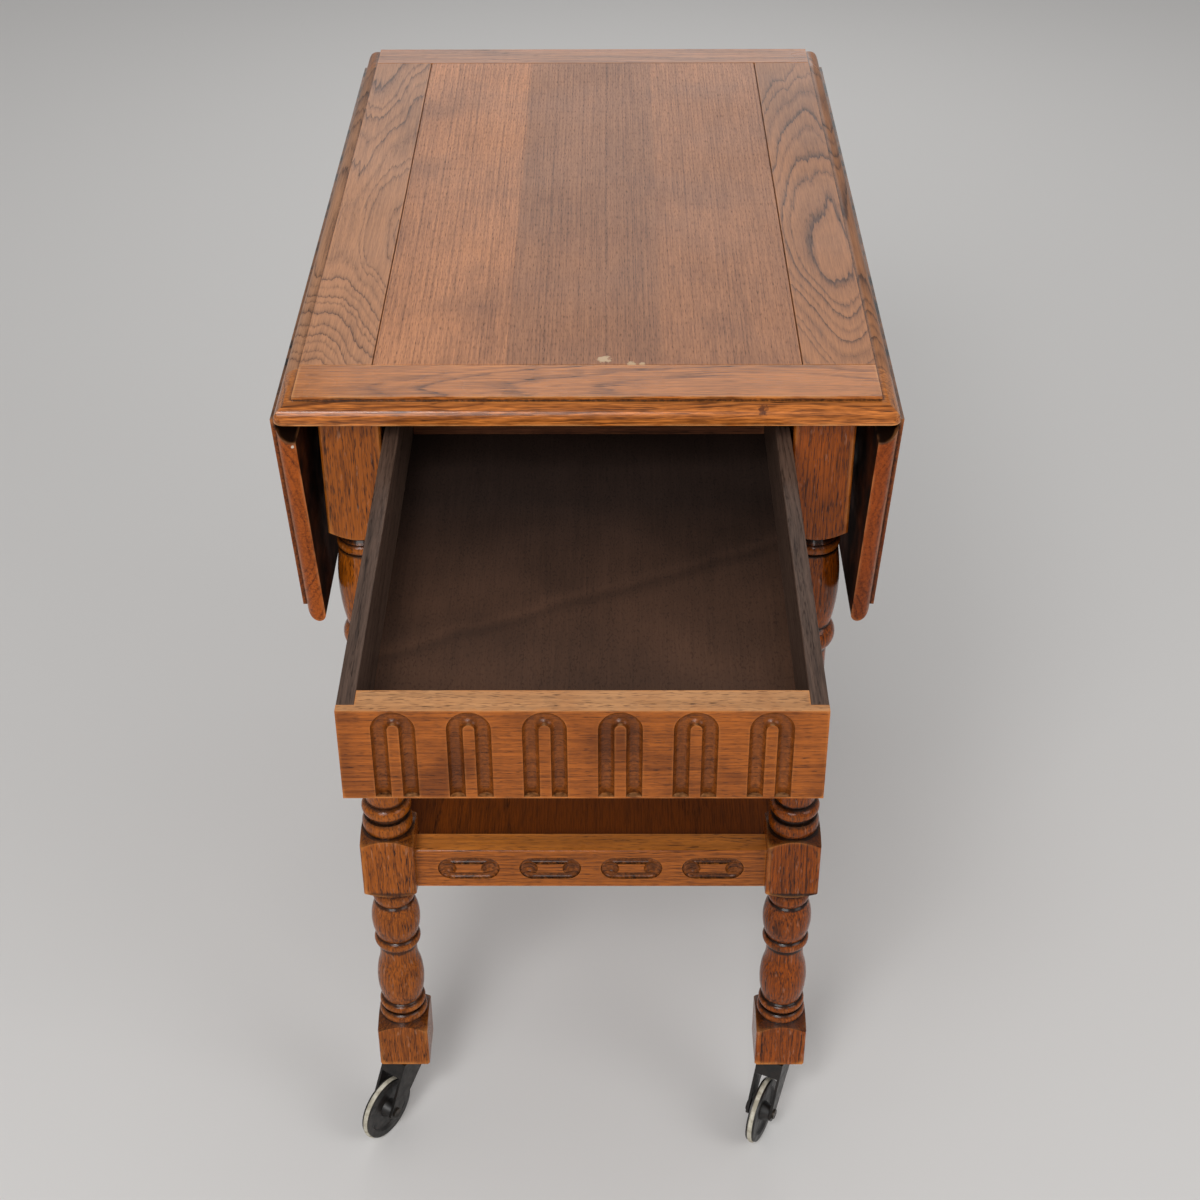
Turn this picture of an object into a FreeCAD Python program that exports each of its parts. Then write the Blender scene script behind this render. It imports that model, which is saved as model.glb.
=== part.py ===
"""Drop leaf tea trolley: a turned four-legged trolley with a moulded top, two drop leaves, a carved
drawer shown pulled out, a lower shelf and four swivel casters. Millimetres, +Z up, the drawer to -Y.
The origin is at the floor, under the middle of the object as it stands with the drawer open."""
import math
import os
import FreeCAD
import Part
import Sketcher

doc = FreeCAD.newDocument("TeaTrolley")
sheet = doc.addObject("Spreadsheet::Sheet", "Sizes")
Vector = FreeCAD.Vector
nodes = {}
rows = []


class Size:
    """A value together with the sheet formula that it comes from."""

    def __init__(self, value, text):
        self.value = value
        self.text = text

    def __add__(self, other):
        other = as_size(other)
        return Size(self.value + other.value, "(%s + %s)" % (self.text, other.text))

    def __sub__(self, other):
        other = as_size(other)
        return Size(self.value - other.value, "(%s - %s)" % (self.text, other.text))

    def __mul__(self, other):
        other = as_size(other)
        return Size(self.value * other.value, "(%s * %s)" % (self.text, other.text))

    def __truediv__(self, other):
        other = as_size(other)
        return Size(self.value / other.value, "(%s / %s)" % (self.text, other.text))

    def __neg__(self):
        return self * -1

    def root(self):
        return Size(math.sqrt(self.value), "sqrt(%s)" % self.text)


def as_size(value):
    if isinstance(value, Size):
        return value
    return Size(float(value), "(%r)" % float(value))


def size(name, value):
    """Adds one named row to the sheet."""
    rows.append(name)
    row = len(rows)
    sheet.set("A%d" % row, name)
    sheet.set("B%d" % row, repr(float(value)))
    sheet.setAlias("B%d" % row, name)
    return Size(float(value), "Sizes." + name)


zero = as_size(0)

# Top: height of its surface, outline, thickness and the stepped quarter-round edge.
top_height = size("top_height", 720)
top_width = size("top_width", 405)
top_depth = size("top_depth", 642)
top_thick = size("top_thick", 16)
edge_step = size("edge_step", 3)
edge_radius = size("edge_radius", 10)
side_radius = size("side_radius", 12.5)
side_board_width = size("side_board_width", 60.5)
front_rail_width = size("front_rail_width", 52)
back_rail_width = size("back_rail_width", 44)
seam_width = size("seam_width", 0.7)
seam_depth = size("seam_depth", 1.5)
corner_round = size("corner_round", 7)
overrun = size("overrun", 1)

# Drop leaves: reach past the hinge line, cove clearance, and the angle at which they hang.
leaf_reach = size("leaf_reach", 156)
leaf_round = size("leaf_round", 5)
leaf_end_radius = size("leaf_end_radius", 8)
leaf_packing = size("leaf_packing", 0.2)
cove_clear = size("cove_clear", 0.8)
leaf_gap = size("leaf_gap", 0.5)
leaf_hang_angle = size("leaf_hang_angle", 93.4)

# Rule joint hinges.
hinge_length = size("hinge_length", 44)
hinge_spread_share = size("hinge_spread_share", 0.623)
knuckle_radius = size("knuckle_radius", 3)
knuckle_middle = size("knuckle_middle", 14.4)
knuckle_gap = size("knuckle_gap", 0.2)
hinge_pin_radius = size("hinge_pin_radius", 1.4)
hinge_pin_clear = size("hinge_pin_clear", 0.05)
hinge_plate_thick = size("hinge_plate_thick", 1.6)
hinge_plate_start = size("hinge_plate_start", 6.5)
hinge_apron_clear = size("hinge_apron_clear", 1)
hinge_leaf_reach = size("hinge_leaf_reach", 40)
hinge_housing_in_clear = size("hinge_housing_in_clear", 2.3)
hinge_housing_out_clear = size("hinge_housing_out_clear", 0.6)
hinge_housing_up_clear = size("hinge_housing_up_clear", 0.3)
hinge_housing_end = size("hinge_housing_end", 0.5)

# Legs: square size, set-back from the top's edges, and how the blocks stand to rails and casters.
leg_square = size("leg_square", 41)
leg_side_setback = size("leg_side_setback", 26)
leg_setback = size("leg_setback", 20)
leg_arris = size("leg_arris", 1.8)
leg_blank_share = size("leg_blank_share", 0.7195)
foot_radius_share = size("foot_radius_share", 0.68)
foot_corner_high = size("foot_corner_high", 3)
foot_block_high = size("foot_block_high", 38)
mid_block_lift = size("mid_block_lift", 2)
mid_block_crest = size("mid_block_crest", 11.6)
upper_block_lift = size("upper_block_lift", 1.4)

# Rails of the upper carcase.
apron_thick = size("apron_thick", 18)
rail_inset = size("rail_inset", 4)
drawer_rail_high = size("drawer_rail_high", 16.6)
upper_rail_high = size("upper_rail_high", 14)
tenon_gap = size("tenon_gap", 3.4)
tenon_shoulder = size("tenon_shoulder", 5)
flat_tenon_shoulder = size("flat_tenon_shoulder", 3.5)
joint_clear = size("joint_clear", 0.1)

# Drawer.
drawer_reach = size("drawer_reach", 270)
drawer_closed_inset = size("drawer_closed_inset", 2)
drawer_side_clear = size("drawer_side_clear", 2)
drawer_head_gap = size("drawer_head_gap", 3.5)
drawer_height = size("drawer_height", 62)
drawer_length = size("drawer_length", 390)
drawer_lift = size("drawer_lift", 0.3)
drawer_front_thick = size("drawer_front_thick", 18.2)
drawer_side_thick = size("drawer_side_thick", 10)
drawer_lip = size("drawer_lip", 5.5)
drawer_back_thick = size("drawer_back_thick", 10)
drawer_back_inset = size("drawer_back_inset", 8)
drawer_back_drop = size("drawer_back_drop", 4)
drawer_bottom_thick = size("drawer_bottom_thick", 4)
drawer_bottom_lift = size("drawer_bottom_lift", 8)
drawer_groove_depth = size("drawer_groove_depth", 5)
arch_count = 6
arch_pitch_share = size("arch_pitch_share", 0.1543)
arch_radius = size("arch_radius", 7.7)
arch_cutter = size("arch_cutter", 4.6)
arch_cutter_out = size("arch_cutter_out", 0.8)
arch_top_gap = size("arch_top_gap", 0.9)
arch_stop = size("arch_stop", 1)

# Drawer running parts.
runner_width = size("runner_width", 36.5)
runner_spare = size("runner_spare", 14.8)
guide_clear = size("guide_clear", 0.7)
guide_high = size("guide_high", 36)
stop_width = size("stop_width", 14)
stop_depth = size("stop_depth", 12)
stop_high = size("stop_high", 15)
stop_clear = size("stop_clear", 0.2)

# Lopers that carry the raised leaves, and their keepers.
loper_wide = size("loper_wide", 22)
loper_inner = size("loper_inner", 26)
loper_first_share = size("loper_first_share", 0.3115)
loper_second_share = size("loper_second_share", 0.732)
loper_clear = size("loper_clear", 0.3)
keeper_wall = size("keeper_wall", 6)
keeper_floor = size("keeper_floor", 3.3)
keeper_start = size("keeper_start", 30)
keeper_long = size("keeper_long", 20)
keeper_drawer_clear = size("keeper_drawer_clear", 1.5)

# Lower rails and the shelf.
shelf_rail_low = size("shelf_rail_low", 269)
shelf_rail_high = size("shelf_rail_high", 37.4)
shelf_rail_thick = size("shelf_rail_thick", 19)
shelf_rail_inset = size("shelf_rail_inset", 10.6)
shelf_drop = size("shelf_drop", 8)
shelf_thick = size("shelf_thick", 9)
shelf_groove = size("shelf_groove", 5)
shelf_notch_clear = size("shelf_notch_clear", 0.3)
lozenge_count = 4
lozenge_pitch_share = size("lozenge_pitch_share", 0.2332)
lozenge_long = size("lozenge_long", 48)
lozenge_high = size("lozenge_high", 22)
lozenge_cutter = size("lozenge_cutter", 3.4)
lozenge_cutter_out = size("lozenge_cutter_out", 0.5)
gouge_radius = size("gouge_radius", 8)
gouge_out = size("gouge_out", 3.6)
gouge_end_gap = size("gouge_end_gap", 7.4)
rail_round = size("rail_round", 2.5)

# Casters: plate, pivot, raked horn, axle and a wheel with a tyre between two flanges.
caster_plate_side = size("caster_plate_side", 34)
caster_plate_thick = size("caster_plate_thick", 2.5)
caster_stem_radius = size("caster_stem_radius", 4)
caster_stem_length = size("caster_stem_length", 30)
caster_pin_radius = size("caster_pin_radius", 4)
caster_pin_clear = size("caster_pin_clear", 0.08)
caster_head_radius = size("caster_head_radius", 6.4)
caster_head_high = size("caster_head_high", 3)
crown_gap = size("crown_gap", 0.4)
crown_thick = size("crown_thick", 4)
crown_back = size("crown_back", 16)
crown_front = size("crown_front", 17)
caster_head_room = size("caster_head_room", 18)
horn_gap = size("horn_gap", 18)
horn_web_thick = size("horn_web_thick", 3)
horn_web_share = size("horn_web_share", 0.45)
horn_hood_thick = size("horn_hood_thick", 2.2)
horn_hood_share = size("horn_hood_share", 0.27)
cheek_thick = size("cheek_thick", 2.2)
axle_boss_radius = size("axle_boss_radius", 7.5)
boss_swell_share = size("boss_swell_share", 0.8)
caster_trail = size("caster_trail", 32)
axle_radius = size("axle_radius", 3)
axle_clear = size("axle_clear", 0.08)
axle_head_radius = size("axle_head_radius", 4.2)
axle_head_thick = size("axle_head_thick", 1.4)
wheel_radius = size("wheel_radius", 28.5)
tyre_proud = size("tyre_proud", 1.5)
flange_deep = size("flange_deep", 7)
flange_half = size("flange_half", 3.5)
web_half = size("web_half", 1.6)
hub_half = size("hub_half", 8.4)
hub_radius = size("hub_radius", 6)
hub_foot_radius = size("hub_foot_radius", 8.5)
tyre_half = size("tyre_half", 1.9)
tyre_thick = size("tyre_thick", 7.5)
tyre_crown = size("tyre_crown", 1)
front_left_turn_angle = size("front_left_turn_angle", 35)
front_right_turn_angle = size("front_right_turn_angle", 25)
back_left_turn_angle = size("back_left_turn_angle", 25)
back_right_turn_angle = size("back_right_turn_angle", 31)

# The turned lengths of a leg from the foot up: name, height as a share of the length between two
# blocks, radius and swell of the arc to the next point as shares of the leg's square, and 1 for a
# swelling, -1 for a hollow or 0 for a straight line.
leg_turning_shares = {
    "lower": [
        ("foot_collar_low", 0.0538, 0.4293, 0.0520, 1),
        ("foot_collar_high", 0.1070, 0.4200, 0.0000, 0),
        ("foot_groove_low", 0.1090, 0.3900, 0.0000, 0),
        ("foot_groove_high", 0.1190, 0.3900, 0.0000, 0),
        ("foot_bead_low", 0.1210, 0.4080, 0.0520, 1),
        ("foot_bead_high", 0.1680, 0.3980, 0.0000, 0),
        ("vase_groove", 0.1750, 0.3720, 0.0000, 0),
        ("low_vase_start", 0.1800, 0.3951, 0.0537, 1),
        ("low_vase_turn", 0.4114, 0.4195, 0.0268, -1),
        ("low_vase_neck", 0.5380, 0.3707, 0.0000, 0),
        ("low_ring_low", 0.5570, 0.3756, 0.0680, 1),
        ("low_ring_high", 0.6203, 0.3902, 0.0830, 1),
        ("low_bulb_high", 0.8481, 0.3854, 0.0000, 0),
        ("low_bead_low", 0.8576, 0.3561, 0.0537, 1),
        ("low_bead_high", 0.9430, 0.3610, 0.0000, 0),
        ("low_neck", 0.9557, 0.3610, 0.0000, 0),
    ],
    "upper": [
        ("mid_shoulder", 0.0220, 0.5000, 0.0000, 0),
        ("collar_low", 0.0254, 0.4400, 0.0380, 1),
        ("collar_high", 0.0670, 0.4320, 0.0000, 0),
        ("mid_groove_low", 0.0690, 0.3820, 0.0000, 0),
        ("mid_groove_high", 0.0780, 0.3820, 0.0000, 0),
        ("mid_bead_low", 0.0800, 0.4050, 0.0800, 1),
        ("mid_bead_high", 0.1186, 0.3634, 0.0000, 0),
        ("long_vase_start", 0.1237, 0.3720, 0.0683, 1),
        ("long_vase_turn", 0.4192, 0.4100, 0.0254, -1),
        ("long_vase_neck", 0.6220, 0.3450, 0.0000, 0),
        ("ball_low", 0.6306, 0.3720, 0.0980, 1),
        ("ball_high", 0.6976, 0.3800, 0.0000, 0),
        ("upper_vase_start", 0.7045, 0.3900, 0.0720, 1),
        ("upper_vase_high", 0.9182, 0.4200, 0.0000, 0),
        ("upper_bead_low", 0.9216, 0.3850, 0.0585, 1),
        ("upper_bead_high", 0.9498, 0.3850, 0.0000, 0),
        ("upper_neck", 0.9595, 0.3415, 0.0000, 0),
    ],
}

doc.recompute()

# Places that several pieces share.
front = -(top_depth - drawer_reach) / 2
back = front + top_depth
middle = (front + back) / 2
top_under = top_height - top_thick
half_top = top_width / 2
hinge_x = half_top - side_radius
hinge_z = top_height - edge_step - side_radius
leg_outer = half_top - leg_side_setback
leg_inner = leg_outer - leg_square
leg_x = leg_outer - leg_square / 2
leg_front_face = front + leg_setback
leg_back_face = back - leg_setback
leg_front_inner = leg_front_face + leg_square
leg_back_inner = leg_back_face - leg_square
leg_front_y = leg_front_face + leg_square / 2
leg_back_y = leg_back_face - leg_square / 2
leg_foot = wheel_radius * 2 + caster_head_room
apron_outer = leg_outer - rail_inset
apron_inner = apron_outer - apron_thick
drawer_top = top_under - upper_rail_high - drawer_head_gap
drawer_low = drawer_top - drawer_height
runner_top = drawer_low - drawer_lift
apron_low = runner_top - drawer_rail_high
drawer_face = front - drawer_reach
half_drawer = leg_inner - drawer_side_clear
tenon_length = leg_square - shelf_rail_inset - shelf_rail_thick + tenon_shoulder - tenon_gap
rail_top = shelf_rail_low + shelf_rail_high


def bind(item, prop, value):
    item.setExpression(prop, as_size(value).text)


def put(item, x, y, z):
    bind(item, "Placement.Base.x", x)
    bind(item, "Placement.Base.y", y)
    bind(item, "Placement.Base.z", z)
    return item


def turn(item, axis, angle):
    item.Placement = FreeCAD.Placement(Vector(), FreeCAD.Rotation(axis, as_size(angle).value))
    bind(item, "Placement.Rotation.Angle", angle)
    return item


def box(name, x0, y0, z0, x1, y1, z1):
    """A block between two corners."""
    item = doc.addObject("Part::Box", name)
    bind(item, "Length", as_size(x1) - x0)
    bind(item, "Width", as_size(y1) - y0)
    bind(item, "Height", as_size(z1) - z0)
    return put(item, x0, y0, z0)


def side_box(name, side, x0, y0, z0, x1, y1, z1):
    """A block given for the right side (side 1), mirrored for the left side (side -1)."""
    if side > 0:
        return box(name, x0, y0, z0, x1, y1, z1)
    return box(name, -as_size(x1), y0, z0, -as_size(x0), y1, z1)


def rod(name, radius, x, y, z, length, along):
    """A round rod that starts at a point and runs along x, y or z."""
    item = doc.addObject("Part::Cylinder", name)
    if along == "x":
        item.Placement = FreeCAD.Placement(Vector(), FreeCAD.Rotation(Vector(0, 1, 0), 90))
    if along == "y":
        item.Placement = FreeCAD.Placement(Vector(), FreeCAD.Rotation(Vector(1, 0, 0), -90))
    bind(item, "Radius", radius)
    bind(item, "Height", length)
    return put(item, x, y, z)


def fuse(name, pieces):
    item = doc.addObject("Part::MultiFuse", name)
    item.Shapes = pieces
    item.Refine = True
    return item


def cut(name, base, tools):
    item = doc.addObject("Part::Cut", name)
    item.Base = base
    item.Tool = tools[0] if len(tools) == 1 else fuse(name + "_tools", tools)
    return item


def common(name, first, second):
    item = doc.addObject("Part::Common", name)
    item.Base = first
    item.Tool = second
    return item


def group(name, pieces):
    item = doc.addObject("Part::Compound", name)
    item.Links = pieces
    return item


def node(label, item):
    item.Label = label
    nodes[label] = item
    return item


def outline(body, plane, points, arcs):
    """A closed sketch in the body, each corner and arc radius tied to its sheet formula."""
    sketch = body.newObject("Sketcher::SketchObject", body.Name + "_outline")
    support = [item for item in body.Origin.OriginFeatures if item.Role == plane][0]
    sketch.AttachmentSupport = [(support, "")]
    sketch.MapMode = "FlatFace"
    count = len(points)
    starts = []
    ends = []
    for index in range(count):
        first = Vector(points[index][0].value, points[index][1].value, 0)
        second_point = points[(index + 1) % count]
        second = Vector(second_point[0].value, second_point[1].value, 0)
        if index not in arcs:
            sketch.addGeometry(Part.LineSegment(first, second), False)
            starts.append(1)
            ends.append(2)
            continue
        radius = arcs[index][0].value
        way = arcs[index][1]
        chord = second - first
        rise = math.sqrt(max(radius * radius - chord.Length * chord.Length / 4, 0))
        across = Vector(-chord.y, chord.x, 0) / chord.Length
        centre = (first + second) / 2 + across * rise * way
        low, high = (first, second) if way > 0 else (second, first)
        low_angle = math.atan2(low.y - centre.y, low.x - centre.x)
        high_angle = math.atan2(high.y - centre.y, high.x - centre.x)
        circle = Part.Circle(centre, Vector(0, 0, 1), radius)
        sketch.addGeometry(Part.ArcOfCircle(circle, low_angle, high_angle), False)
        starts.append(1 if way > 0 else 2)
        ends.append(2 if way > 0 else 1)
    constraints = []
    formulas = []
    for index in range(count):
        after = (index + 1) % count
        constraints.append(Sketcher.Constraint("Coincident", index, ends[index], after, starts[after]))
        formulas.append(None)
    for index in range(count):
        for word, value in (("DistanceX", points[index][0]), ("DistanceY", points[index][1])):
            constraints.append(Sketcher.Constraint(word, -1, 1, index, starts[index], value.value))
            formulas.append(("%s_%d" % (word.lower(), index), value))
        if index in arcs:
            constraints.append(Sketcher.Constraint("Radius", index, arcs[index][0].value))
            formulas.append(("radius_%d" % index, arcs[index][0]))
    sketch.addConstraint(constraints)
    for number, formula in enumerate(formulas):
        if formula:
            sketch.renameConstraint(number, formula[0])
    for formula in formulas:
        if formula and "Sizes." in formula[1].text:
            sketch.setExpression("Constraints." + formula[0], formula[1].text)
    return sketch


def padded(name, plane, points, arcs, length):
    """A body padded equally to both sides of its sketch plane."""
    body = doc.addObject("PartDesign::Body", name)
    sketch = outline(body, plane, points, arcs)
    pad = body.newObject("PartDesign::Pad", name + "_pad")
    pad.Profile = sketch
    pad.SideType = "Symmetric"
    bind(pad, "Length", length)
    sketch.Visibility = False
    return body


def revolved(name, points, arcs):
    """A body turned about the upright axis of its sketch."""
    body = doc.addObject("PartDesign::Body", name)
    sketch = outline(body, "XZ_Plane", points, arcs)
    turning = body.newObject("PartDesign::Revolution", name + "_turning")
    turning.Profile = sketch
    turning.ReferenceAxis = (sketch, ["V_Axis"])
    turning.Angle = 360
    sketch.Visibility = False
    return body


# Top: five flush boards that share one moulded outline, with a fine seam between them.
def moulded_profile(half, low, high, radius):
    """The stepped quarter-round edge on both ends of a board's cross-section."""
    field = half - radius
    shelf = high - edge_step
    spring = shelf - radius
    points = [(-half, low), (half, low), (half, spring), (field, shelf), (field, high)]
    points += [(-field, high), (-field, shelf), (-half, spring)]
    return points, {2: (radius, 1), 6: (radius, 1)}


across_points, across_arcs = moulded_profile(half_top, top_under, top_height, side_radius)
along_points, along_arcs = moulded_profile(top_depth / 2, top_under, top_height, edge_radius)
top_across = put(padded("top_across", "XZ_Plane", across_points, across_arcs, top_depth), zero, middle, zero)
top_along = put(padded("top_along", "YZ_Plane", along_points, along_arcs, top_width), zero, middle, zero)
half_depth = top_depth / 2
points = [(-half_top + corner_round, -half_depth), (half_top - corner_round, -half_depth),
          (half_top, -half_depth + corner_round), (half_top, half_depth - corner_round),
          (half_top - corner_round, half_depth), (-half_top + corner_round, half_depth),
          (-half_top, half_depth - corner_round), (-half_top, -half_depth + corner_round)]
arcs = {corner: (corner_round, 1) for corner in (1, 3, 5, 7)}
top_corners = padded("top_corners", "XY_Plane", points, arcs, top_thick + overrun * 2)
put(top_corners, zero, middle, top_height - top_thick / 2)
top_square = common("top_square", top_across, top_along)
top_outline = common("top_outline", top_square, top_corners)
half_panel = half_top - side_board_width
seam_low = top_height - seam_depth
front_seam = front + front_rail_width
back_seam = back - back_rail_width
half_seam = seam_width / 2
seams = []
for word, side in (("left", -1), ("right", 1)):
    seams.append(side_box("seam_" + word, side, half_panel - half_seam, front_seam, seam_low,
                          half_panel + half_seam, back_seam, top_height + overrun))
for word, line in (("front", front_seam), ("back", back_seam)):
    seams.append(box("seam_" + word, -half_top, line - half_seam, seam_low,
                     half_top, line + half_seam, top_height + overrun))
top_blank = cut("top_blank", top_outline, seams)
node("top_panel", common("top_panel", top_blank, box(
    "panel_zone", -half_panel, front_seam, top_under, half_panel, back_seam, top_height)))
node("top_front_rail", common("top_front_rail", top_blank, box(
    "front_rail_zone", -half_top, front, top_under, half_top, front_seam, top_height)))
node("top_back_rail", common("top_back_rail", top_blank, box(
    "back_rail_zone", -half_top, back_seam, top_under, half_top, back, top_height)))
hinge_spread = top_depth * hinge_spread_share
for word, side in (("left", -1), ("right", 1)):
    zone = side_box(word + "_board_zone", side, half_panel, front_seam, top_under,
                    half_top, back_seam, top_height)
    board = common(word + "_board_blank", top_blank, zone)
    housings = []
    for number, way in ((1, -1), (2, 1)):
        spot = middle + hinge_spread / 2 * way
        reach = hinge_length / 2 + hinge_housing_end
        inner = hinge_x - knuckle_radius - hinge_housing_in_clear
        outer = hinge_x + knuckle_radius + hinge_housing_out_clear
        housings.append(side_box(word + "_hinge_housing_%d" % number, side, inner, spot - reach,
                                 top_under - overrun, outer, spot + reach,
                                 hinge_z + knuckle_radius + hinge_housing_up_clear))
    node("top_%s_board" % word, cut("top_%s_board" % word, board, housings))


# Drop leaves: the cove runs round the top's edge, the other three edges carry the moulding.
# They are drawn raised, about the hinge line, and then turned down to hang.
def hang(item, side):
    turn(item, Vector(0, side, 0), leaf_hang_angle)
    return put(item, hinge_x * side, middle, hinge_z)


leaf_top = edge_step + side_radius
leaf_under = -(top_thick - edge_step - side_radius) - leaf_packing
cove = side_radius + cove_clear
leaf_field = leaf_reach - leaf_end_radius
leaf_shelf = leaf_top - edge_step
for word, side in (("left", -1), ("right", 1)):
    points = [(leaf_gap, leaf_top), (leaf_gap, (cove * cove - leaf_gap * leaf_gap).root()),
              (cove, zero), (cove, leaf_under), (leaf_reach - leaf_round, leaf_under),
              (leaf_reach, leaf_under + leaf_round), (leaf_reach, leaf_shelf - leaf_end_radius),
              (leaf_field, leaf_shelf), (leaf_field, leaf_top)]
    arcs = {1: (cove, -side), 4: (leaf_round, side), 6: (leaf_end_radius, side)}
    points = [(u * side, v) for u, v in points]
    leaf_across = padded(word + "_leaf_across", "XZ_Plane", points, arcs, top_depth)
    points, arcs = moulded_profile(top_depth / 2, leaf_under, leaf_top, edge_radius)
    leaf_along = padded(word + "_leaf_along", "YZ_Plane", points, arcs, leaf_reach * 2 + top_thick)
    leaf = common(word + "_leaf", leaf_across, leaf_along)
    node(word + "_leaf", hang(leaf, side))

# Rule joint hinges: top plates and pins stay with the top, leaf plates hang with the leaf.
half_hinge = hinge_length / 2
hinge_top_reach = hinge_x - apron_outer - hinge_apron_clear
half_knuckle = knuckle_middle / 2
plate_top = -(top_thick - edge_step - side_radius)
for word, side in (("left", -1), ("right", 1)):
    top_plates = []
    leaf_plates = []
    pins = []
    for number, way in ((1, -1), (2, 1)):
        tag = "%s_hinge_%d_" % (word, number)
        spot = hinge_spread / 2 * way
        low = plate_top - hinge_plate_thick
        pieces = [side_box(tag + "top_plate", side, -hinge_top_reach, spot - half_hinge, low,
                           -hinge_plate_start, spot + half_hinge, plate_top)]
        for end, start, stop in ((1, spot - half_hinge, spot - half_knuckle - knuckle_gap),
                                 (2, spot + half_knuckle + knuckle_gap, spot + half_hinge)):
            pieces.append(side_box(tag + "top_tongue_%d" % end, side, -hinge_plate_start, start, low,
                                   zero, stop, plate_top))
            pieces.append(side_box(tag + "top_web_%d" % end, side, -knuckle_radius, start, low,
                                   zero, stop, zero))
            pieces.append(rod(tag + "top_knuckle_%d" % end, knuckle_radius, zero, start, zero,
                              stop - start, "y"))
        bore = rod(tag + "top_bore", hinge_pin_radius, zero, spot - hinge_length, zero, hinge_length * 2, "y")
        top_plates.append(cut(tag + "top_half", fuse(tag + "top_body", pieces), [bore]))
        low = leaf_under - hinge_plate_thick
        start = spot - half_knuckle
        stop = spot + half_knuckle
        pieces = [side_box(tag + "leaf_plate", side, hinge_plate_start, spot - half_hinge, low,
                           hinge_leaf_reach, spot + half_hinge, leaf_under),
                  side_box(tag + "leaf_tongue", side, zero, start, low, hinge_plate_start, stop, leaf_under),
                  side_box(tag + "leaf_web", side, zero, start, low, knuckle_radius, stop, zero),
                  rod(tag + "leaf_knuckle", knuckle_radius, zero, start, zero, knuckle_middle, "y")]
        bore = rod(tag + "leaf_bore", hinge_pin_radius + hinge_pin_clear, zero, spot - hinge_length, zero,
                   hinge_length * 2, "y")
        leaf_plates.append(cut(tag + "leaf_half", fuse(tag + "leaf_body", pieces), [bore]))
        pins.append(rod(tag + "pin", hinge_pin_radius, zero, spot - half_hinge, zero, hinge_length, "y"))
    top_group = group(word + "_hinge_top_plates", top_plates)
    node(word + "_hinge_top_plates", put(top_group, hinge_x * side, middle, hinge_z))
    node(word + "_hinge_pins", put(group(word + "_hinge_pins", pins), hinge_x * side, middle, hinge_z))
    node(word + "_hinge_leaf_plates", hang(group(word + "_hinge_leaf_plates", leaf_plates), side))

# Rails with stub tenons. Each tenon leaves a mortise for the leg that it enters.
mortises = {}
leg_names = {("left", "front"): "front_left_leg", ("right", "front"): "front_right_leg",
             ("left", "back"): "back_left_leg", ("right", "back"): "back_right_leg"}


def tenoned(name, along, x0, y0, z0, x1, y1, z1, shoulder, legs):
    """A rail between two legs, with a tenon at each end; legs are the ones at its low and high end."""
    pieces = [box(name + "_length", x0, y0, z0, x1, y1, z1)]
    for number, leg in enumerate(legs):
        corners = []
        for grow in (zero, joint_clear):
            if along == "x":
                start = x0 - tenon_length - grow if number == 0 else x1
                stop = x0 if number == 0 else x1 + tenon_length + grow
                corners.append((start, y0 + shoulder - grow, z0 + shoulder - grow,
                                stop, y1 - shoulder + grow, z1 - shoulder + grow))
            else:
                start = y0 - tenon_length - grow if number == 0 else y1
                stop = y0 if number == 0 else y1 + tenon_length + grow
                corners.append((x0 + shoulder - grow, start, z0 + shoulder - grow,
                                x1 - shoulder + grow, stop, z1 - shoulder + grow))
        pieces.append(box("%s_tenon_%d" % (name, number), *corners[0]))
        mortises.setdefault(leg, []).append(box("%s_mortise_%d" % (name, number), *corners[1]))
    return fuse(name + "_timber", pieces)


# Upper carcase: side and back aprons, and the two rails round the drawer.
loper_room = upper_rail_high + drawer_head_gap - keeper_drawer_clear
loper_high = loper_room - keeper_floor - loper_clear
loper_low = top_under - loper_high - loper_clear
loper_spots = (front + top_depth * loper_first_share, front + top_depth * loper_second_share)
half_loper = loper_wide / 2
for word, side in (("left", -1), ("right", 1)):
    x0, x1 = (apron_inner, apron_outer) if side > 0 else (-apron_outer, -apron_inner)
    timber = tenoned(word + "_apron", "y", x0, leg_front_inner, apron_low, x1, leg_back_inner, top_under,
                     tenon_shoulder, (leg_names[(word, "front")], leg_names[(word, "back")]))
    notches = []
    for number, spot in enumerate(loper_spots):
        notches.append(box("%s_loper_notch_%d" % (word, number), x0 - overrun,
                           spot - half_loper - loper_clear, loper_low, x1 + overrun,
                           spot + half_loper + loper_clear, top_under + overrun))
    node(word + "_apron", cut(word + "_apron", timber, notches))
apron_back_face = leg_back_face - rail_inset
node("back_apron", tenoned("back_apron", "x", -leg_inner, apron_back_face - apron_thick, apron_low, leg_inner,
                           apron_back_face, top_under, tenon_shoulder, ("back_left_leg", "back_right_leg")))
rail_face = leg_front_face + rail_inset
node("upper_front_rail", tenoned("upper_front_rail", "x", -leg_inner, rail_face, top_under - upper_rail_high,
                                 leg_inner, leg_front_inner, top_under, flat_tenon_shoulder,
                                 ("front_left_leg", "front_right_leg")))
node("lower_front_rail", tenoned("lower_front_rail", "x", -leg_inner, rail_face, apron_low, leg_inner,
                                 leg_front_inner, runner_top, flat_tenon_shoulder,
                                 ("front_left_leg", "front_right_leg")))

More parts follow.
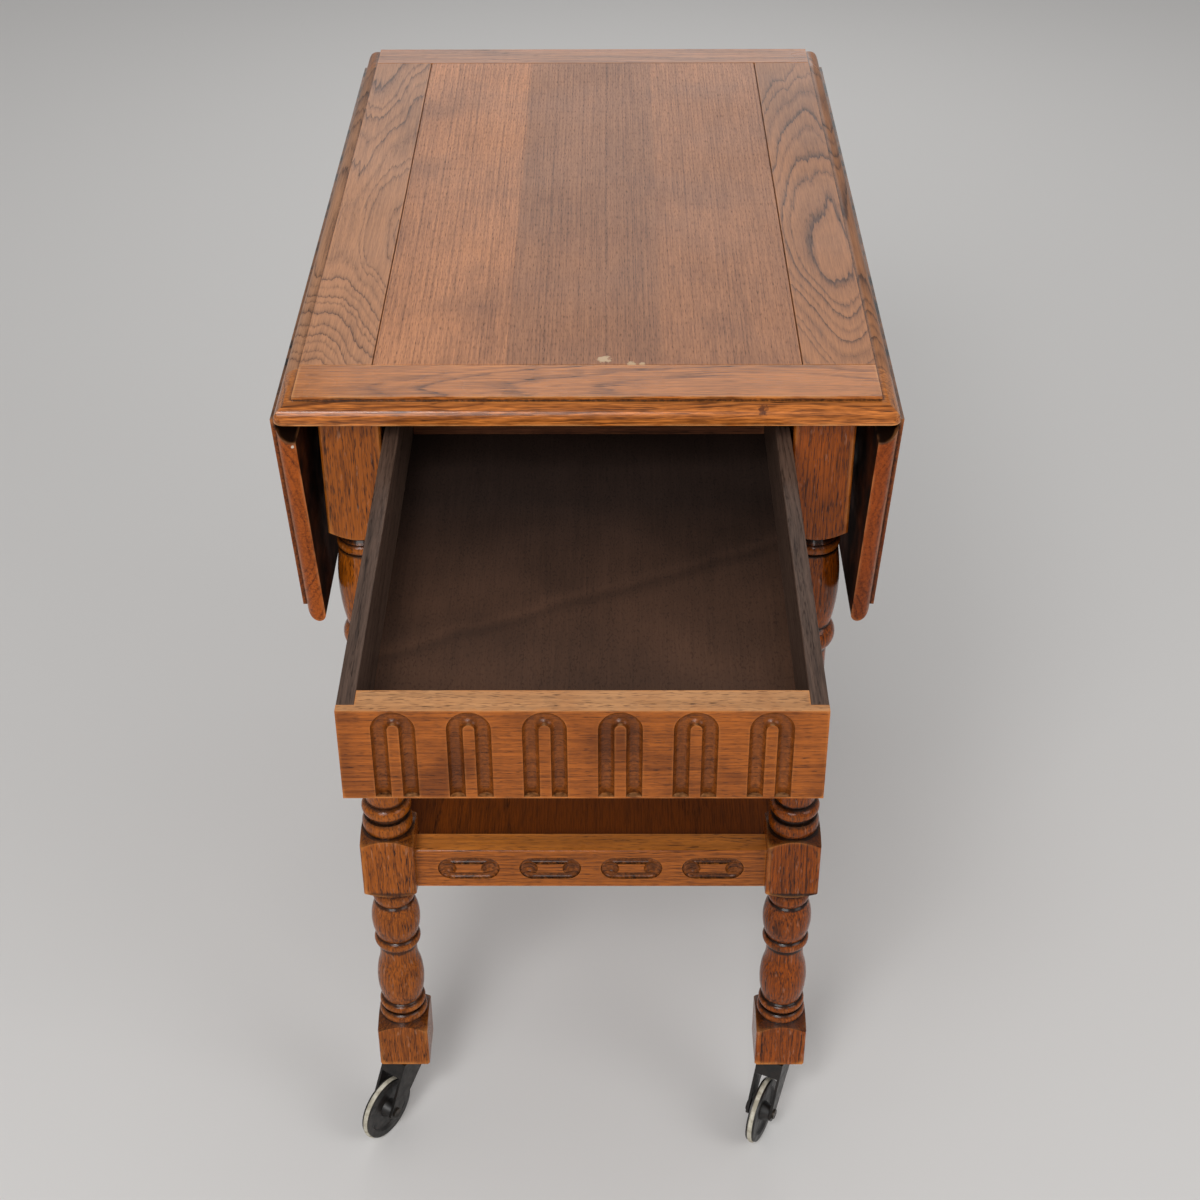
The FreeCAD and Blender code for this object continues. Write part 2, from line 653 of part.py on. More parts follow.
# Drawer runners with side guides, kickers that stop it tipping, and stops for the closed drawer.
runner_inner = apron_inner - runner_width
drawer_closed_end = leg_front_face + drawer_closed_inset + drawer_length
runner_end = drawer_closed_end + stop_clear + stop_depth + runner_spare
guide_inner = half_drawer + guide_clear
kickers = []
stops = []
for word, side in (("left", -1), ("right", 1)):
    bed = side_box(word + "_runner_bed", side, runner_inner, leg_front_inner, apron_low,
                   apron_inner, runner_end, runner_top)
    guide = side_box(word + "_runner_guide", side, guide_inner, leg_front_inner, runner_top,
                     apron_inner, runner_end, runner_top + guide_high)
    node(word + "_runner", fuse(word + "_runner", [bed, guide]))
    strip = side_box(word + "_kicker_strip", side, runner_inner, leg_front_inner,
                     top_under - upper_rail_high, apron_inner, leg_back_inner, top_under)
    notches = []
    for number, spot in enumerate(loper_spots):
        notches.append(side_box("%s_kicker_notch_%d" % (word, number), side, runner_inner - overrun,
                                spot - half_loper - loper_clear, loper_low, apron_inner + overrun,
                                spot + half_loper + loper_clear, top_under + overrun))
    kickers.append(cut(word + "_kicker", strip, notches))
    stop_y = drawer_closed_end + stop_clear
    stops.append(side_box(word + "_stop", side, guide_inner - stop_width, stop_y, runner_top,
                          guide_inner, stop_y + stop_depth, runner_top + stop_high))
node("drawer_kickers", group("drawer_kickers", kickers))
node("drawer_stops", group("drawer_stops", stops))

# Lopers, stowed, and the keepers under the top that hold their inner ends.
keepers = []
for word, side in (("left", -1), ("right", 1)):
    lopers = []
    for number, spot in enumerate(loper_spots):
        lopers.append(side_box("%s_loper_%d" % (word, number), side, loper_inner, spot - half_loper,
                               loper_low, apron_outer, spot + half_loper, loper_low + loper_high))
        wall = half_loper + loper_clear
        strap = side_box("%s_keeper_strap_%d" % (word, number), side, keeper_start, spot - wall - keeper_wall,
                         loper_low - keeper_floor, keeper_start + keeper_long,
                         spot + wall + keeper_wall, top_under)
        way_through = side_box("%s_keeper_way_%d" % (word, number), side, keeper_start - overrun,
                               spot - wall, loper_low, keeper_start + keeper_long + overrun,
                               spot + wall, top_under + overrun)
        keepers.append(cut("%s_keeper_%d" % (word, number), strap, [way_through]))
    node(word + "_lopers", group(word + "_lopers", lopers))
node("loper_keepers", group("loper_keepers", keepers))

# Lower rails and the shelf. The front rail carries four carved lozenges.
shelf_top = shelf_rail_low + shelf_rail_high - shelf_drop
shelf_low = shelf_top - shelf_thick
side_rail_outer = leg_outer - shelf_rail_inset
side_rail_inner = side_rail_outer - shelf_rail_thick
front_rail_face = leg_front_face + shelf_rail_inset
front_rail_back = front_rail_face + shelf_rail_thick
back_rail_face = leg_back_face - shelf_rail_inset
back_rail_front = back_rail_face - shelf_rail_thick


def shelf_groove_tool(name):
    return box(name, -(side_rail_inner + shelf_groove + joint_clear),
               front_rail_back - shelf_groove - joint_clear, shelf_low - joint_clear,
               side_rail_inner + shelf_groove + joint_clear,
               back_rail_front + shelf_groove + joint_clear, shelf_top + joint_clear)


for word, side in (("left", -1), ("right", 1)):
    x0, x1 = (side_rail_inner, side_rail_outer) if side > 0 else (-side_rail_outer, -side_rail_inner)
    timber = tenoned("shelf_%s_rail" % word, "y", x0, leg_front_inner, shelf_rail_low, x1, leg_back_inner,
                     rail_top, tenon_shoulder, (leg_names[(word, "front")], leg_names[(word, "back")]))
    groove = shelf_groove_tool(word + "_shelf_groove")
    node("shelf_%s_rail" % word, cut("shelf_%s_rail" % word, timber, [groove]))
timber = tenoned("shelf_back_rail", "x", -leg_inner, back_rail_front, shelf_rail_low, leg_inner,
                 back_rail_face, rail_top, tenon_shoulder, ("back_left_leg", "back_right_leg"))
node("shelf_back_rail", cut("shelf_back_rail", timber, [shelf_groove_tool("back_shelf_groove")]))
timber = tenoned("shelf_front_rail", "x", -leg_inner, front_rail_face, shelf_rail_low, leg_inner,
                 front_rail_back, rail_top, tenon_shoulder, ("front_left_leg", "front_right_leg"))
round_y = front_rail_face + rail_round
round_z = rail_top - rail_round
round_strip = box("rail_round_strip", -leg_inner, front_rail_face - overrun, round_z, leg_inner, round_y,
                  rail_top + overrun)
round_rod = rod("rail_round_rod", rail_round, -leg_inner - overrun, round_y, round_z,
                (leg_inner + overrun) * 2, "x")
tools = [shelf_groove_tool("front_shelf_groove"), cut("rail_round_tool", round_strip, [round_rod])]
gouges = []
groove_half = (lozenge_cutter * lozenge_cutter - lozenge_cutter_out * lozenge_cutter_out).root()
bend = lozenge_high / 2 - groove_half
straight = lozenge_long / 2 - lozenge_high / 2
carve_y = front_rail_face - lozenge_cutter_out
lozenge_z = shelf_rail_low + shelf_rail_high / 2
for number in range(lozenge_count):
    tag = "lozenge_%d_" % number
    centre = leg_inner * 2 * lozenge_pitch_share * (number - (lozenge_count - 1) / 2)
    for word, way in (("low", -1), ("high", 1)):
        tools.append(rod(tag + word, lozenge_cutter, centre - straight, carve_y, lozenge_z + bend * way,
                         straight * 2, "x"))
    for word, way in (("left", -1), ("right", 1)):
        ring = doc.addObject("Part::Torus", tag + word)
        upright = FreeCAD.Rotation(Vector(1, 0, 0), 90)
        half_turn = FreeCAD.Rotation(Vector(0, 0, 1), -90 * way)
        ring.Placement = FreeCAD.Placement(Vector(), upright.multiply(half_turn))
        ring.Angle3 = 180
        bind(ring, "Radius1", bend)
        bind(ring, "Radius2", lozenge_cutter)
        tools.append(put(ring, centre + straight * way, carve_y, lozenge_z))
        gouge = doc.addObject("Part::Sphere", tag + word + "_gouge")
        bind(gouge, "Radius", gouge_radius)
        gouge_x = centre + (lozenge_long / 2 - gouge_end_gap) * way
        gouges.append(put(gouge, gouge_x, front_rail_face - gouge_out, lozenge_z))
grooved = cut("shelf_front_rail_grooved", timber, tools)
node("shelf_front_rail", cut("shelf_front_rail", grooved, gouges))
board = box("shelf_blank", -(side_rail_inner + shelf_groove), front_rail_back - shelf_groove, shelf_low,
            side_rail_inner + shelf_groove, back_rail_front + shelf_groove, shelf_top)
notches = []
for word, side in (("left", -1), ("right", 1)):
    notches.append(side_box("shelf_notch_front_" + word, side, leg_inner - shelf_notch_clear, front,
                            shelf_low - overrun, leg_outer, leg_front_inner + shelf_notch_clear,
                            shelf_top + overrun))
    notches.append(side_box("shelf_notch_back_" + word, side, leg_inner - shelf_notch_clear,
                            leg_back_inner - shelf_notch_clear, shelf_low - overrun, leg_outer, back,
                            shelf_top + overrun))
node("shelf_board", cut("shelf_board", board, notches))

# Drawer, open: a carved front lapped over the sides, a back between them, a thin grooved bottom.
drawer_back_end = drawer_face + drawer_length
side_inner = half_drawer - drawer_side_thick
bottom_low = drawer_low + drawer_bottom_lift
bottom_top = bottom_low + drawer_bottom_thick
groove_start = drawer_face + drawer_front_thick - drawer_groove_depth
drawer_back_front = drawer_back_end - drawer_back_inset - drawer_back_thick


def bottom_groove(name):
    return box(name, -(side_inner + drawer_groove_depth + joint_clear), groove_start - joint_clear,
               bottom_low - joint_clear, side_inner + drawer_groove_depth + joint_clear,
               drawer_back_end + overrun, bottom_top + joint_clear)


slab = box("drawer_front_slab", -half_drawer, drawer_face, drawer_low, half_drawer,
           drawer_face + drawer_front_thick, drawer_top)
tools = [bottom_groove("front_bottom_groove")]
for word, side in (("left", -1), ("right", 1)):
    tools.append(side_box(word + "_lap", side, side_inner, drawer_face + drawer_lip, drawer_low - overrun,
                          half_drawer + overrun, drawer_face + drawer_front_thick + overrun,
                          drawer_top + overrun))
arch_half = (arch_cutter * arch_cutter - arch_cutter_out * arch_cutter_out).root()
arch_z = drawer_top - arch_top_gap - arch_half - arch_radius
arch_y = drawer_face - arch_cutter_out
arch_low = drawer_low + arch_stop
for number in range(arch_count):
    tag = "arch_%d_" % number
    centre = half_drawer * 2 * arch_pitch_share * (number - (arch_count - 1) / 2)
    for word, way in (("left", -1), ("right", 1)):
        tools.append(rod(tag + word, arch_cutter, centre + arch_radius * way, arch_y, arch_low,
                         arch_z - arch_low, "z"))
    ring = doc.addObject("Part::Torus", tag + "head")
    ring.Placement = FreeCAD.Placement(Vector(), FreeCAD.Rotation(Vector(1, 0, 0), 90))
    ring.Angle3 = 180
    bind(ring, "Radius1", arch_radius)
    bind(ring, "Radius2", arch_cutter)
    tools.append(put(ring, centre, arch_y, arch_z))
node("drawer_front", cut("drawer_front", slab, tools))
for word, side in (("left", -1), ("right", 1)):
    plank = side_box("drawer_%s_plank" % word, side, side_inner, drawer_face + drawer_lip, drawer_low,
                     half_drawer, drawer_back_end, drawer_top)
    groove = bottom_groove(word + "_bottom_groove")
    node("drawer_%s_side" % word, cut("drawer_%s_side" % word, plank, [groove]))
node("drawer_back", box("drawer_back", -side_inner, drawer_back_front, bottom_top, side_inner,
                        drawer_back_front + drawer_back_thick, drawer_top - drawer_back_drop))
node("drawer_bottom", box("drawer_bottom", -(side_inner + drawer_groove_depth), groove_start, bottom_low,
                          side_inner + drawer_groove_depth, drawer_back_end, bottom_top))

# Casters. Each is drawn with its trail along +X about the pivot, then turned and set under its leg.
plate_low = leg_foot - caster_plate_thick
crown_top = plate_low - crown_gap
crown_low = crown_top - crown_thick
half_gap = horn_gap / 2
cheek_outer = half_gap + cheek_thick
half_plate = caster_plate_side / 2
flange_radius = wheel_radius - tyre_proud
flange_inner_radius = flange_radius - flange_deep
tyre_seat_radius = wheel_radius - tyre_thick
plates = []
bores = {}
casters = (("front_left", -1, leg_front_y, front_left_turn_angle),
           ("front_right", 1, leg_front_y, front_right_turn_angle),
           ("back_left", -1, leg_back_y, back_left_turn_angle),
           ("back_right", 1, leg_back_y, back_right_turn_angle))


def trail(item, side, y, angle):
    turn(item, Vector(0, 0, -1), angle + 90)
    return put(item, leg_x * side, y, zero)


for word, side, y, angle in casters:
    x = leg_x * side
    plate = box(word + "_plate", x - half_plate, y - half_plate, plate_low, x + half_plate,
                y + half_plate, leg_foot)
    stem_length = leg_foot - plate_low + caster_stem_length
    stem = rod(word + "_stem", caster_stem_radius, x, y, plate_low, stem_length, "z")
    pin = rod(word + "_pivot", caster_pin_radius, x, y, crown_low - crown_gap - caster_head_high,
              leg_foot - crown_low + crown_gap + caster_head_high, "z")
    head = rod(word + "_pivot_head", caster_head_radius, x, y, crown_low - crown_gap - caster_head_high,
               caster_head_high, "z")
    plates.append(fuse(word + "_caster_plate", [plate, stem, pin, head]))
    bores[word + "_leg"] = rod(word + "_stem_bore", caster_stem_radius + joint_clear, x, y, plate_low,
                               stem_length + joint_clear, "z")
    crown = box(word + "_crown", -crown_back, -cheek_outer, crown_low, crown_front, cheek_outer, crown_top)
    pieces = [crown]
    heel = caster_trail - axle_boss_radius
    points = [(-crown_back, crown_top), (-crown_back, crown_low), (heel, wheel_radius),
              (caster_trail + axle_boss_radius, wheel_radius), (crown_front, crown_top)]
    nose = axle_boss_radius * boss_swell_share
    arcs = {2: ((axle_boss_radius * axle_boss_radius + nose * nose) / (nose * 2), 1)}
    for hand, way in (("near", -1), ("far", 1)):
        cheek = padded("%s_%s_cheek" % (word, hand), "XZ_Plane", points, arcs, cheek_thick)
        pieces.append(put(cheek, zero, (half_gap + cheek_thick / 2) * way, zero))
    web_x = (heel + crown_back) * horn_web_share - crown_back
    web_z = crown_low - (crown_low - wheel_radius) * horn_web_share
    points = [(-crown_back, crown_top), (-crown_back, crown_low), (web_x, web_z),
              (web_x + horn_web_thick, web_z), (-crown_back + horn_web_thick, crown_low),
              (-crown_back + horn_web_thick, crown_top)]
    pieces.append(padded(word + "_horn_web", "XZ_Plane", points, {}, cheek_outer * 2))
    hood_x = crown_front + (caster_trail + axle_boss_radius - crown_front) * horn_hood_share
    hood_z = crown_top - (crown_top - wheel_radius) * horn_hood_share
    points = [(crown_front - horn_hood_thick, crown_top), (hood_x - horn_hood_thick, hood_z), (hood_x, hood_z),
              (crown_front, crown_top)]
    pieces.append(padded(word + "_horn_hood", "XZ_Plane", points, {}, cheek_outer * 2))
    horn_blank = fuse(word + "_horn_blank", pieces)
    pivot_bore = rod(word + "_pivot_bore", caster_pin_radius + caster_pin_clear, zero, zero,
                     crown_low - overrun, crown_thick + overrun * 2, "z")
    axle_bore = rod(word + "_axle_bore", axle_radius, caster_trail, -(cheek_outer + overrun), wheel_radius,
                    (cheek_outer + overrun) * 2, "y")
    horn = cut(word + "_horn", horn_blank, [pivot_bore, axle_bore])
    node(word + "_horn", trail(horn, side, y, angle))
    axle_pieces = [rod(word + "_axle_rod", axle_radius, caster_trail, -cheek_outer, wheel_radius,
                       cheek_outer * 2, "y")]
    for hand, start in (("near", -cheek_outer - axle_head_thick), ("far", cheek_outer)):
        axle_pieces.append(rod("%s_axle_head_%s" % (word, hand), axle_head_radius, caster_trail, start,
                               wheel_radius, axle_head_thick, "y"))
    node(word + "_axle", trail(fuse(word + "_axle", axle_pieces), side, y, angle))
    bore_radius = axle_radius + axle_clear
    half = [(bore_radius, hub_half), (hub_radius, hub_half), (hub_foot_radius, web_half),
            (flange_inner_radius, web_half), (flange_inner_radius + web_half, flange_half),
            (flange_radius, flange_half), (flange_radius, tyre_half), (tyre_seat_radius, tyre_half)]
    points = [(u, -v) for u, v in half] + [(u, v) for u, v in reversed(half)]
    core = revolved(word + "_wheel", points, {})
    core.Placement = FreeCAD.Placement(Vector(), FreeCAD.Rotation(Vector(1, 0, 0), 90))
    put(core, caster_trail, zero, wheel_radius)
    node(word + "_wheel", trail(group(word + "_wheel_set", [core]), side, y, angle))
    points = [(tyre_seat_radius, -tyre_half), (wheel_radius - tyre_crown, -tyre_half),
              (wheel_radius, -(tyre_half - tyre_crown)), (wheel_radius, tyre_half - tyre_crown),
              (wheel_radius - tyre_crown, tyre_half), (tyre_seat_radius, tyre_half)]
    band = revolved(word + "_tyre", points, {})
    band.Placement = FreeCAD.Placement(Vector(), FreeCAD.Rotation(Vector(1, 0, 0), 90))
    put(band, caster_trail, zero, wheel_radius)
    node(word + "_tyre", trail(group(word + "_tyre_set", [band]), side, y, angle))
node("caster_plates", group("caster_plates", plates))

# Legs: a square length turned between its blocks, with the mortises and the caster's stem bore.
leg_blank_radius = leg_square * leg_blank_share
foot_block_top = leg_foot + foot_block_high
mid_block_low = shelf_rail_low + mid_block_lift
mid_block_top = rail_top + mid_block_crest
upper_block_low = apron_low + upper_block_lift
turning_points = [(leg_square * foot_radius_share, leg_foot), (leg_blank_radius, leg_foot + foot_corner_high),
                  (leg_blank_radius, foot_block_top)]
swells = {}
for zone, zone_low, zone_high in (("lower", foot_block_top, mid_block_low),
                                  ("upper", mid_block_top, upper_block_low)):
    for word, height, radius, swell, way in leg_turning_shares[zone]:
        height_share = size("turn_%s_height_share" % word, height)
        radius_share = size("turn_%s_radius_share" % word, radius)
        if way:
            swells[len(turning_points)] = (leg_square * size("turn_%s_swell_share" % word, swell), way)
        turning_points.append((leg_square * radius_share, zone_low + (zone_high - zone_low) * height_share))
    turning_points.append((leg_blank_radius, zone_high))
    if zone == "lower":
        turning_points.append((leg_blank_radius, mid_block_top))
doc.recompute()
turning_arcs = {}
for spot, (swell, way) in swells.items():
    across = turning_points[spot + 1][0] - turning_points[spot][0]
    along = turning_points[spot + 1][1] - turning_points[spot][1]
    turning_arcs[spot] = ((across * across + along * along + swell * swell * 4) / (swell * 8), way)
for (hand, end), name in leg_names.items():
    side = 1 if hand == "right" else -1
    y = leg_front_y if end == "front" else leg_back_y
    x = leg_x * side
    crest = [(leg_blank_radius, top_under), (zero, top_under), (zero, leg_foot)]
    turned = put(revolved(name + "_turned", turning_points + crest, turning_arcs), x, y, zero)
    half = leg_square / 2
    flat = half - leg_arris
    points = [(half, -flat), (half, flat), (flat, half), (-flat, half), (-half, flat), (-half, -flat),
              (-flat, -half), (flat, -half)]
    arcs = {spot: (leg_arris, 1) for spot in (1, 3, 5, 7)}
    square = padded(name + "_square", "XY_Plane", points, arcs, (top_under - leg_foot))
    put(square, x, y, (top_under + leg_foot) / 2)
    shaped = common(name + "_shaped", turned, square)
    node(name, cut(name, shaped, mortises[name] + [bores[name]]))

doc.recompute()

for item in doc.Objects:
    if "Invalid" in item.State or "Error" in item.State:
        raise RuntimeError("%s did not compute: %s" % (item.Name, item.State))
os.makedirs("parts", exist_ok=True)
for label, item in nodes.items():
    shape = item.Shape
    if shape.isNull() or not shape.isValid() or not shape.Solids:
        raise RuntimeError("%s has no valid solid" % label)
    shape.exportStep(os.path.join("parts", label + ".step"))
    print("%-26s solids %d volume %.1f" % (label, len(shape.Solids), shape.Volume))
print(len(nodes), "nodes")
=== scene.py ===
import math

import bpy
from mathutils import Matrix, Vector


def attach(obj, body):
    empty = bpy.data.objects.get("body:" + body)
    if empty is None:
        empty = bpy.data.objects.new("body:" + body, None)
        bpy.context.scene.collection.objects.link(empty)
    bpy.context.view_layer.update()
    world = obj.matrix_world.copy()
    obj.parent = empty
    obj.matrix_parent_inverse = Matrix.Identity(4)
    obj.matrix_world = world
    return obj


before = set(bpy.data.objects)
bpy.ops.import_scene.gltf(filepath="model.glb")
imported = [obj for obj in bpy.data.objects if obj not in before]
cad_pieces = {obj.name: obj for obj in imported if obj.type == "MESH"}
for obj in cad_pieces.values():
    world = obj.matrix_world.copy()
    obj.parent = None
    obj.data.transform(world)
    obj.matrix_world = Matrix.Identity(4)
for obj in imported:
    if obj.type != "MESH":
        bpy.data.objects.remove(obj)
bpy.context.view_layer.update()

# Legs: four lengths of square oak, turned between the blocks that take the rails, stained brown,
# polished and rubbed by long use. Dark wax has gathered in the turned hollows, painted darker still
# for the shade in them, and the corners of the blocks are rubbed paler. They stand on the caster plates.


def join(tree, kind, inputs=(), **settings):
    """Adds one shader node. Each input is a value to set or an output to link, by place or by name."""
    made = tree.nodes.new("ShaderNode" + kind)
    for word, value in settings.items():
        setattr(made, word, value)
    given = inputs.items() if isinstance(inputs, dict) else enumerate(inputs)
    for place, value in given:
        if isinstance(value, bpy.types.NodeSocket):
            tree.links.new(value, made.inputs[place])
        elif value is not None:
            made.inputs[place].default_value = value
    return made


def reckon(tree, sum_word, *terms):
    """One Math node and its result."""
    return join(tree, "Math", terms, operation=sum_word).outputs[0]


def held(tree, sum_word, *terms):
    """One Math node whose result is held between 0 and 1."""
    return join(tree, "Math", terms, operation=sum_word, use_clamp=True).outputs[0]


def off_centre(tree, value):
    """A noise about zero."""
    return reckon(tree, "SUBTRACT", value, 0.5)


def eased(tree, value, start, end, low=0.0, high=1.0):
    """Goes from low to high as the value goes from start to end."""
    return join(tree, "MapRange", [value, start, end, low, high]).outputs[0]


def mixed(tree, share, first, second):
    """The share of the second colour laid over the first."""
    return join(tree, "Mix", {"Factor": share, 6: first, 7: second}, data_type="RGBA").outputs[2]


def tinted(tree, colour, tint):
    """A colour seen through a tint."""
    return join(tree, "Mix", {"Factor": 1.0, 6: colour, 7: tint}, data_type="RGBA",
                blend_type="MULTIPLY").outputs[2]


def on_piece(tree):
    """The place on the piece, in metres."""
    return join(tree, "TexCoord").outputs["Object"]


def blotches(tree, scale, detail):
    """Soft patches, so many to the metre."""
    return join(tree, "TexNoise", {"Vector": on_piece(tree), "Scale": scale, "Detail": detail}).outputs[0]


def looking(tree, way):
    """How far the surface looks a given way: 1 straight at it, 0 across it."""
    looks = join(tree, "TexCoord").outputs["Normal"]
    return join(tree, "VectorMath", [looks, way], operation="DOT_PRODUCT").outputs["Value"]


def group_sockets(tree, inputs, outputs):
    """Names a group's sockets: a word, its kind and, for a number, its usual value."""
    for way, rows in (("INPUT", inputs), ("OUTPUT", outputs)):
        for word, kind, usual in rows:
            socket = tree.interface.new_socket(word, in_out=way, socket_type="NodeSocket" + kind)
            if usual is not None:
                socket.default_value = usual
    return tree.nodes.new("NodeGroupInput").outputs, tree.nodes.new("NodeGroupOutput").inputs


def noise(tree, place, across, along, detail=1.0):
    """A noise drawn out along the grain: so many to the metre across it and along it."""
    drawn_out = join(tree, "VectorMath", [place, (across, along, across)], operation="MULTIPLY").outputs[0]
    return join(tree, "TexNoise", {"Vector": drawn_out, "Scale": 1.0, "Detail": detail,
                                   "Roughness": 0.55}).outputs[0]


def ramp(tree, value, stops):
    """A grey that follows the value from stop to stop."""
    made = join(tree, "ValToRGB", [value])
    bar = made.color_ramp
    while len(bar.elements) < len(stops):
        bar.elements.new(0.5)
    for stop, (at, grey) in zip(bar.elements, stops):
        stop.position = at
        stop.color = (grey, grey, grey, 1)
    return made.outputs[0]


# Place in the log: X across from the heart, Y along the grain, Z from the heart towards the bark.
oak_figure = bpy.data.node_groups.new("oak_figure", "ShaderNodeTree")
taken, given = group_sockets(
    oak_figure,
    [("Place", "Vector", None), ("Pale", "Color", None), ("Dark", "Color", None), ("Pore", "Color", None),
     ("Ring", "Float", 0.004), ("Wander", "Float", 0.01), ("Taper", "Float", 0.02),
     ("Contrast", "Float", 0.6), ("Pores", "Float", 0.8), ("Scatter", "Float", 0.25), ("Fibre", "Float", 1.6),
     ("Pore across", "Float", 1350), ("Pore along", "Float", 62), ("Bend", "Float", 0.08),
     ("Flecks", "Float", 0.0), ("Tilt", "Float", 0.0)],
    [("Colour", "Color", None), ("Open grain", "Float", None), ("Height", "Float", None)])
log = taken["Place"]
apart = join(oak_figure, "SeparateXYZ", [log]).outputs

# The rings: distance from the heart, bowed and tilted along the log, let wander and made uneven.
drift = off_centre(oak_figure, noise(oak_figure, log, across=13, along=2.1, detail=2.0))
quiver = off_centre(oak_figure, noise(oak_figure, log, across=70, along=9))
ragged = off_centre(oak_figure, noise(oak_figure, log, across=420, along=14))
drift = reckon(oak_figure, "MULTIPLY_ADD", quiver, 0.13, drift)
drift = reckon(oak_figure, "MULTIPLY_ADD", ragged, 0.06, drift)
across_square = reckon(oak_figure, "MULTIPLY", apart[0], apart[0])
from_heart = reckon(oak_figure, "SQRT", reckon(oak_figure, "MULTIPLY_ADD", apart[2], apart[2], across_square))
bend_square = reckon(oak_figure, "MULTIPLY", taken["Bend"], taken["Bend"])
bowed = reckon(oak_figure, "SQRT", reckon(oak_figure, "MULTIPLY_ADD", apart[1], apart[1], bend_square))
from_heart = reckon(oak_figure, "MULTIPLY_ADD", bowed, taken["Taper"], from_heart)
from_heart = reckon(oak_figure, "MULTIPLY_ADD", apart[1], taken["Tilt"], from_heart)
from_heart = reckon(oak_figure, "MULTIPLY_ADD", drift, taken["Wander"], from_heart)
years = reckon(oak_figure, "DIVIDE", from_heart, taken["Ring"])
slow_years = reckon(oak_figure, "MULTIPLY", years, 0.37)
uneven = join(oak_figure, "TexNoise", {"W": slow_years, "Scale": 1.0, "Detail": 1.0},
              noise_dimensions="1D").outputs[0]
years = reckon(oak_figure, "MULTIPLY_ADD", uneven, 2.2, years)
season = reckon(oak_figure, "FRACT", years)
year = join(oak_figure, "TexWhiteNoise", {"W": reckon(oak_figure, "FLOOR", years)},
            noise_dimensions="1D").outputs[0]
spring = ramp(oak_figure, season, [(0, 0.3), (0.05, 1), (0.15, 0.62), (0.36, 0.2), (0.8, 0), (1, 0.3)])
spring = reckon(oak_figure, "MULTIPLY", spring, reckon(oak_figure, "MULTIPLY_ADD", year, 0.6, 0.4))

# Fibres, clouds, the open pores that crowd into the spring wood, and the rays that catch the light.
fibre = off_centre(oak_figure, noise(oak_figure, log, across=620, along=16, detail=3.0))
thread = off_centre(oak_figure, noise(oak_figure, log, across=1500, along=55))
fibre = reckon(oak_figure, "MULTIPLY_ADD", thread, 0.8, fibre)
cloud = off_centre(oak_figure, noise(oak_figure, log, across=17, along=5, detail=2.0))
drawn = join(oak_figure, "CombineXYZ", [taken["Pore across"], taken["Pore along"], taken["Pore across"]])
short = join(oak_figure, "VectorMath", [log, drawn.outputs[0]], operation="MULTIPLY").outputs[0]
short = join(oak_figure, "TexNoise", {"Vector": short, "Scale": 1.0, "Detail": 1.0}).outputs[0]
crowd = held(oak_figure, "MULTIPLY_ADD", spring, 0.85, taken["Scatter"])
pore = reckon(oak_figure, "MULTIPLY", eased(oak_figure, short, 0.55, 0.66), crowd)
pore = reckon(oak_figure, "MULTIPLY", pore, taken["Pores"])
tone = reckon(oak_figure, "MULTIPLY_ADD", spring, taken["Contrast"], 0.2)
tone = reckon(oak_figure, "MULTIPLY_ADD", fibre, taken["Fibre"], tone)
tone = held(oak_figure, "MULTIPLY_ADD", cloud, 0.8, tone)
ray = eased(oak_figure, noise(oak_figure, log, across=330, along=75, detail=2.0), 0.62, 0.72)
ray = reckon(oak_figure, "MULTIPLY", ray, taken["Flecks"])
ray_colour = mixed(oak_figure, 0.15, taken["Pale"], (1, 0.9, 0.7, 1))
body_colour = mixed(oak_figure, tone, taken["Pale"], taken["Dark"])
body_colour = mixed(oak_figure, pore, body_colour, taken["Pore"])
body_colour = mixed(oak_figure, ray, body_colour, ray_colour)
level = reckon(oak_figure, "MULTIPLY_ADD", pore, -0.8, 1.0)
oak_figure.links.new(body_colour, given["Colour"])
oak_figure.links.new(pore, given["Open grain"])
oak_figure.links.new(reckon(oak_figure, "MULTIPLY_ADD", spring, -0.15, level), given["Height"])

# Old polish: dark wax and painted shade in the hollows that ambient occlusion finds, the wood rubbed paler
# along proud edges, and uneven shine.
polish_and_hollow_shade = bpy.data.node_groups.new("polish_and_hollow_shade", "ShaderNodeTree")
taken, given = group_sockets(
    polish_and_hollow_shade,
    [("Colour", "Color", None), ("Wax", "Color", None), ("Rubbed", "Color", None),
     ("Open grain", "Float", 0.0), ("Hollow reach", "Float", 0.012), ("Edge reach", "Float", 0.003),
     ("Wax amount", "Float", 0.8), ("Rub amount", "Float", 0.5), ("Shine", "Float", 0.35),
     ("Full hollow", "Float", 0.58)],
    [("Colour", "Color", None), ("Roughness", "Float", None)])
patch = blotches(polish_and_hollow_shade, scale=55.0, detail=3.0)
wide_patch = off_centre(polish_and_hollow_shade, blotches(polish_and_hollow_shade, scale=9.0, detail=3.0))
# Painted shade with the dark wax: the more shut in a place is, the darker it is painted.
shut_in = join(polish_and_hollow_shade, "AmbientOcclusion", {"Distance": taken["Hollow reach"]}, samples=8,
               only_local=True).outputs["AO"]
wax_and_shade = eased(polish_and_hollow_shade, shut_in, 0.96, taken["Full hollow"])
grit = blotches(polish_and_hollow_shade, scale=420.0, detail=2.0)
grit = reckon(polish_and_hollow_shade, "MULTIPLY_ADD", grit, 2.2, reckon(polish_and_hollow_shade, "MULTIPLY_ADD", patch, 0.7, -0.45))
wax_and_shade = reckon(polish_and_hollow_shade, "MULTIPLY", wax_and_shade, grit)
wax_and_shade = held(polish_and_hollow_shade, "MULTIPLY", wax_and_shade, taken["Wax amount"])
near_edge = join(polish_and_hollow_shade, "AmbientOcclusion", {"Distance": taken["Edge reach"]}, samples=8, inside=True,
                 only_local=True).outputs["AO"]
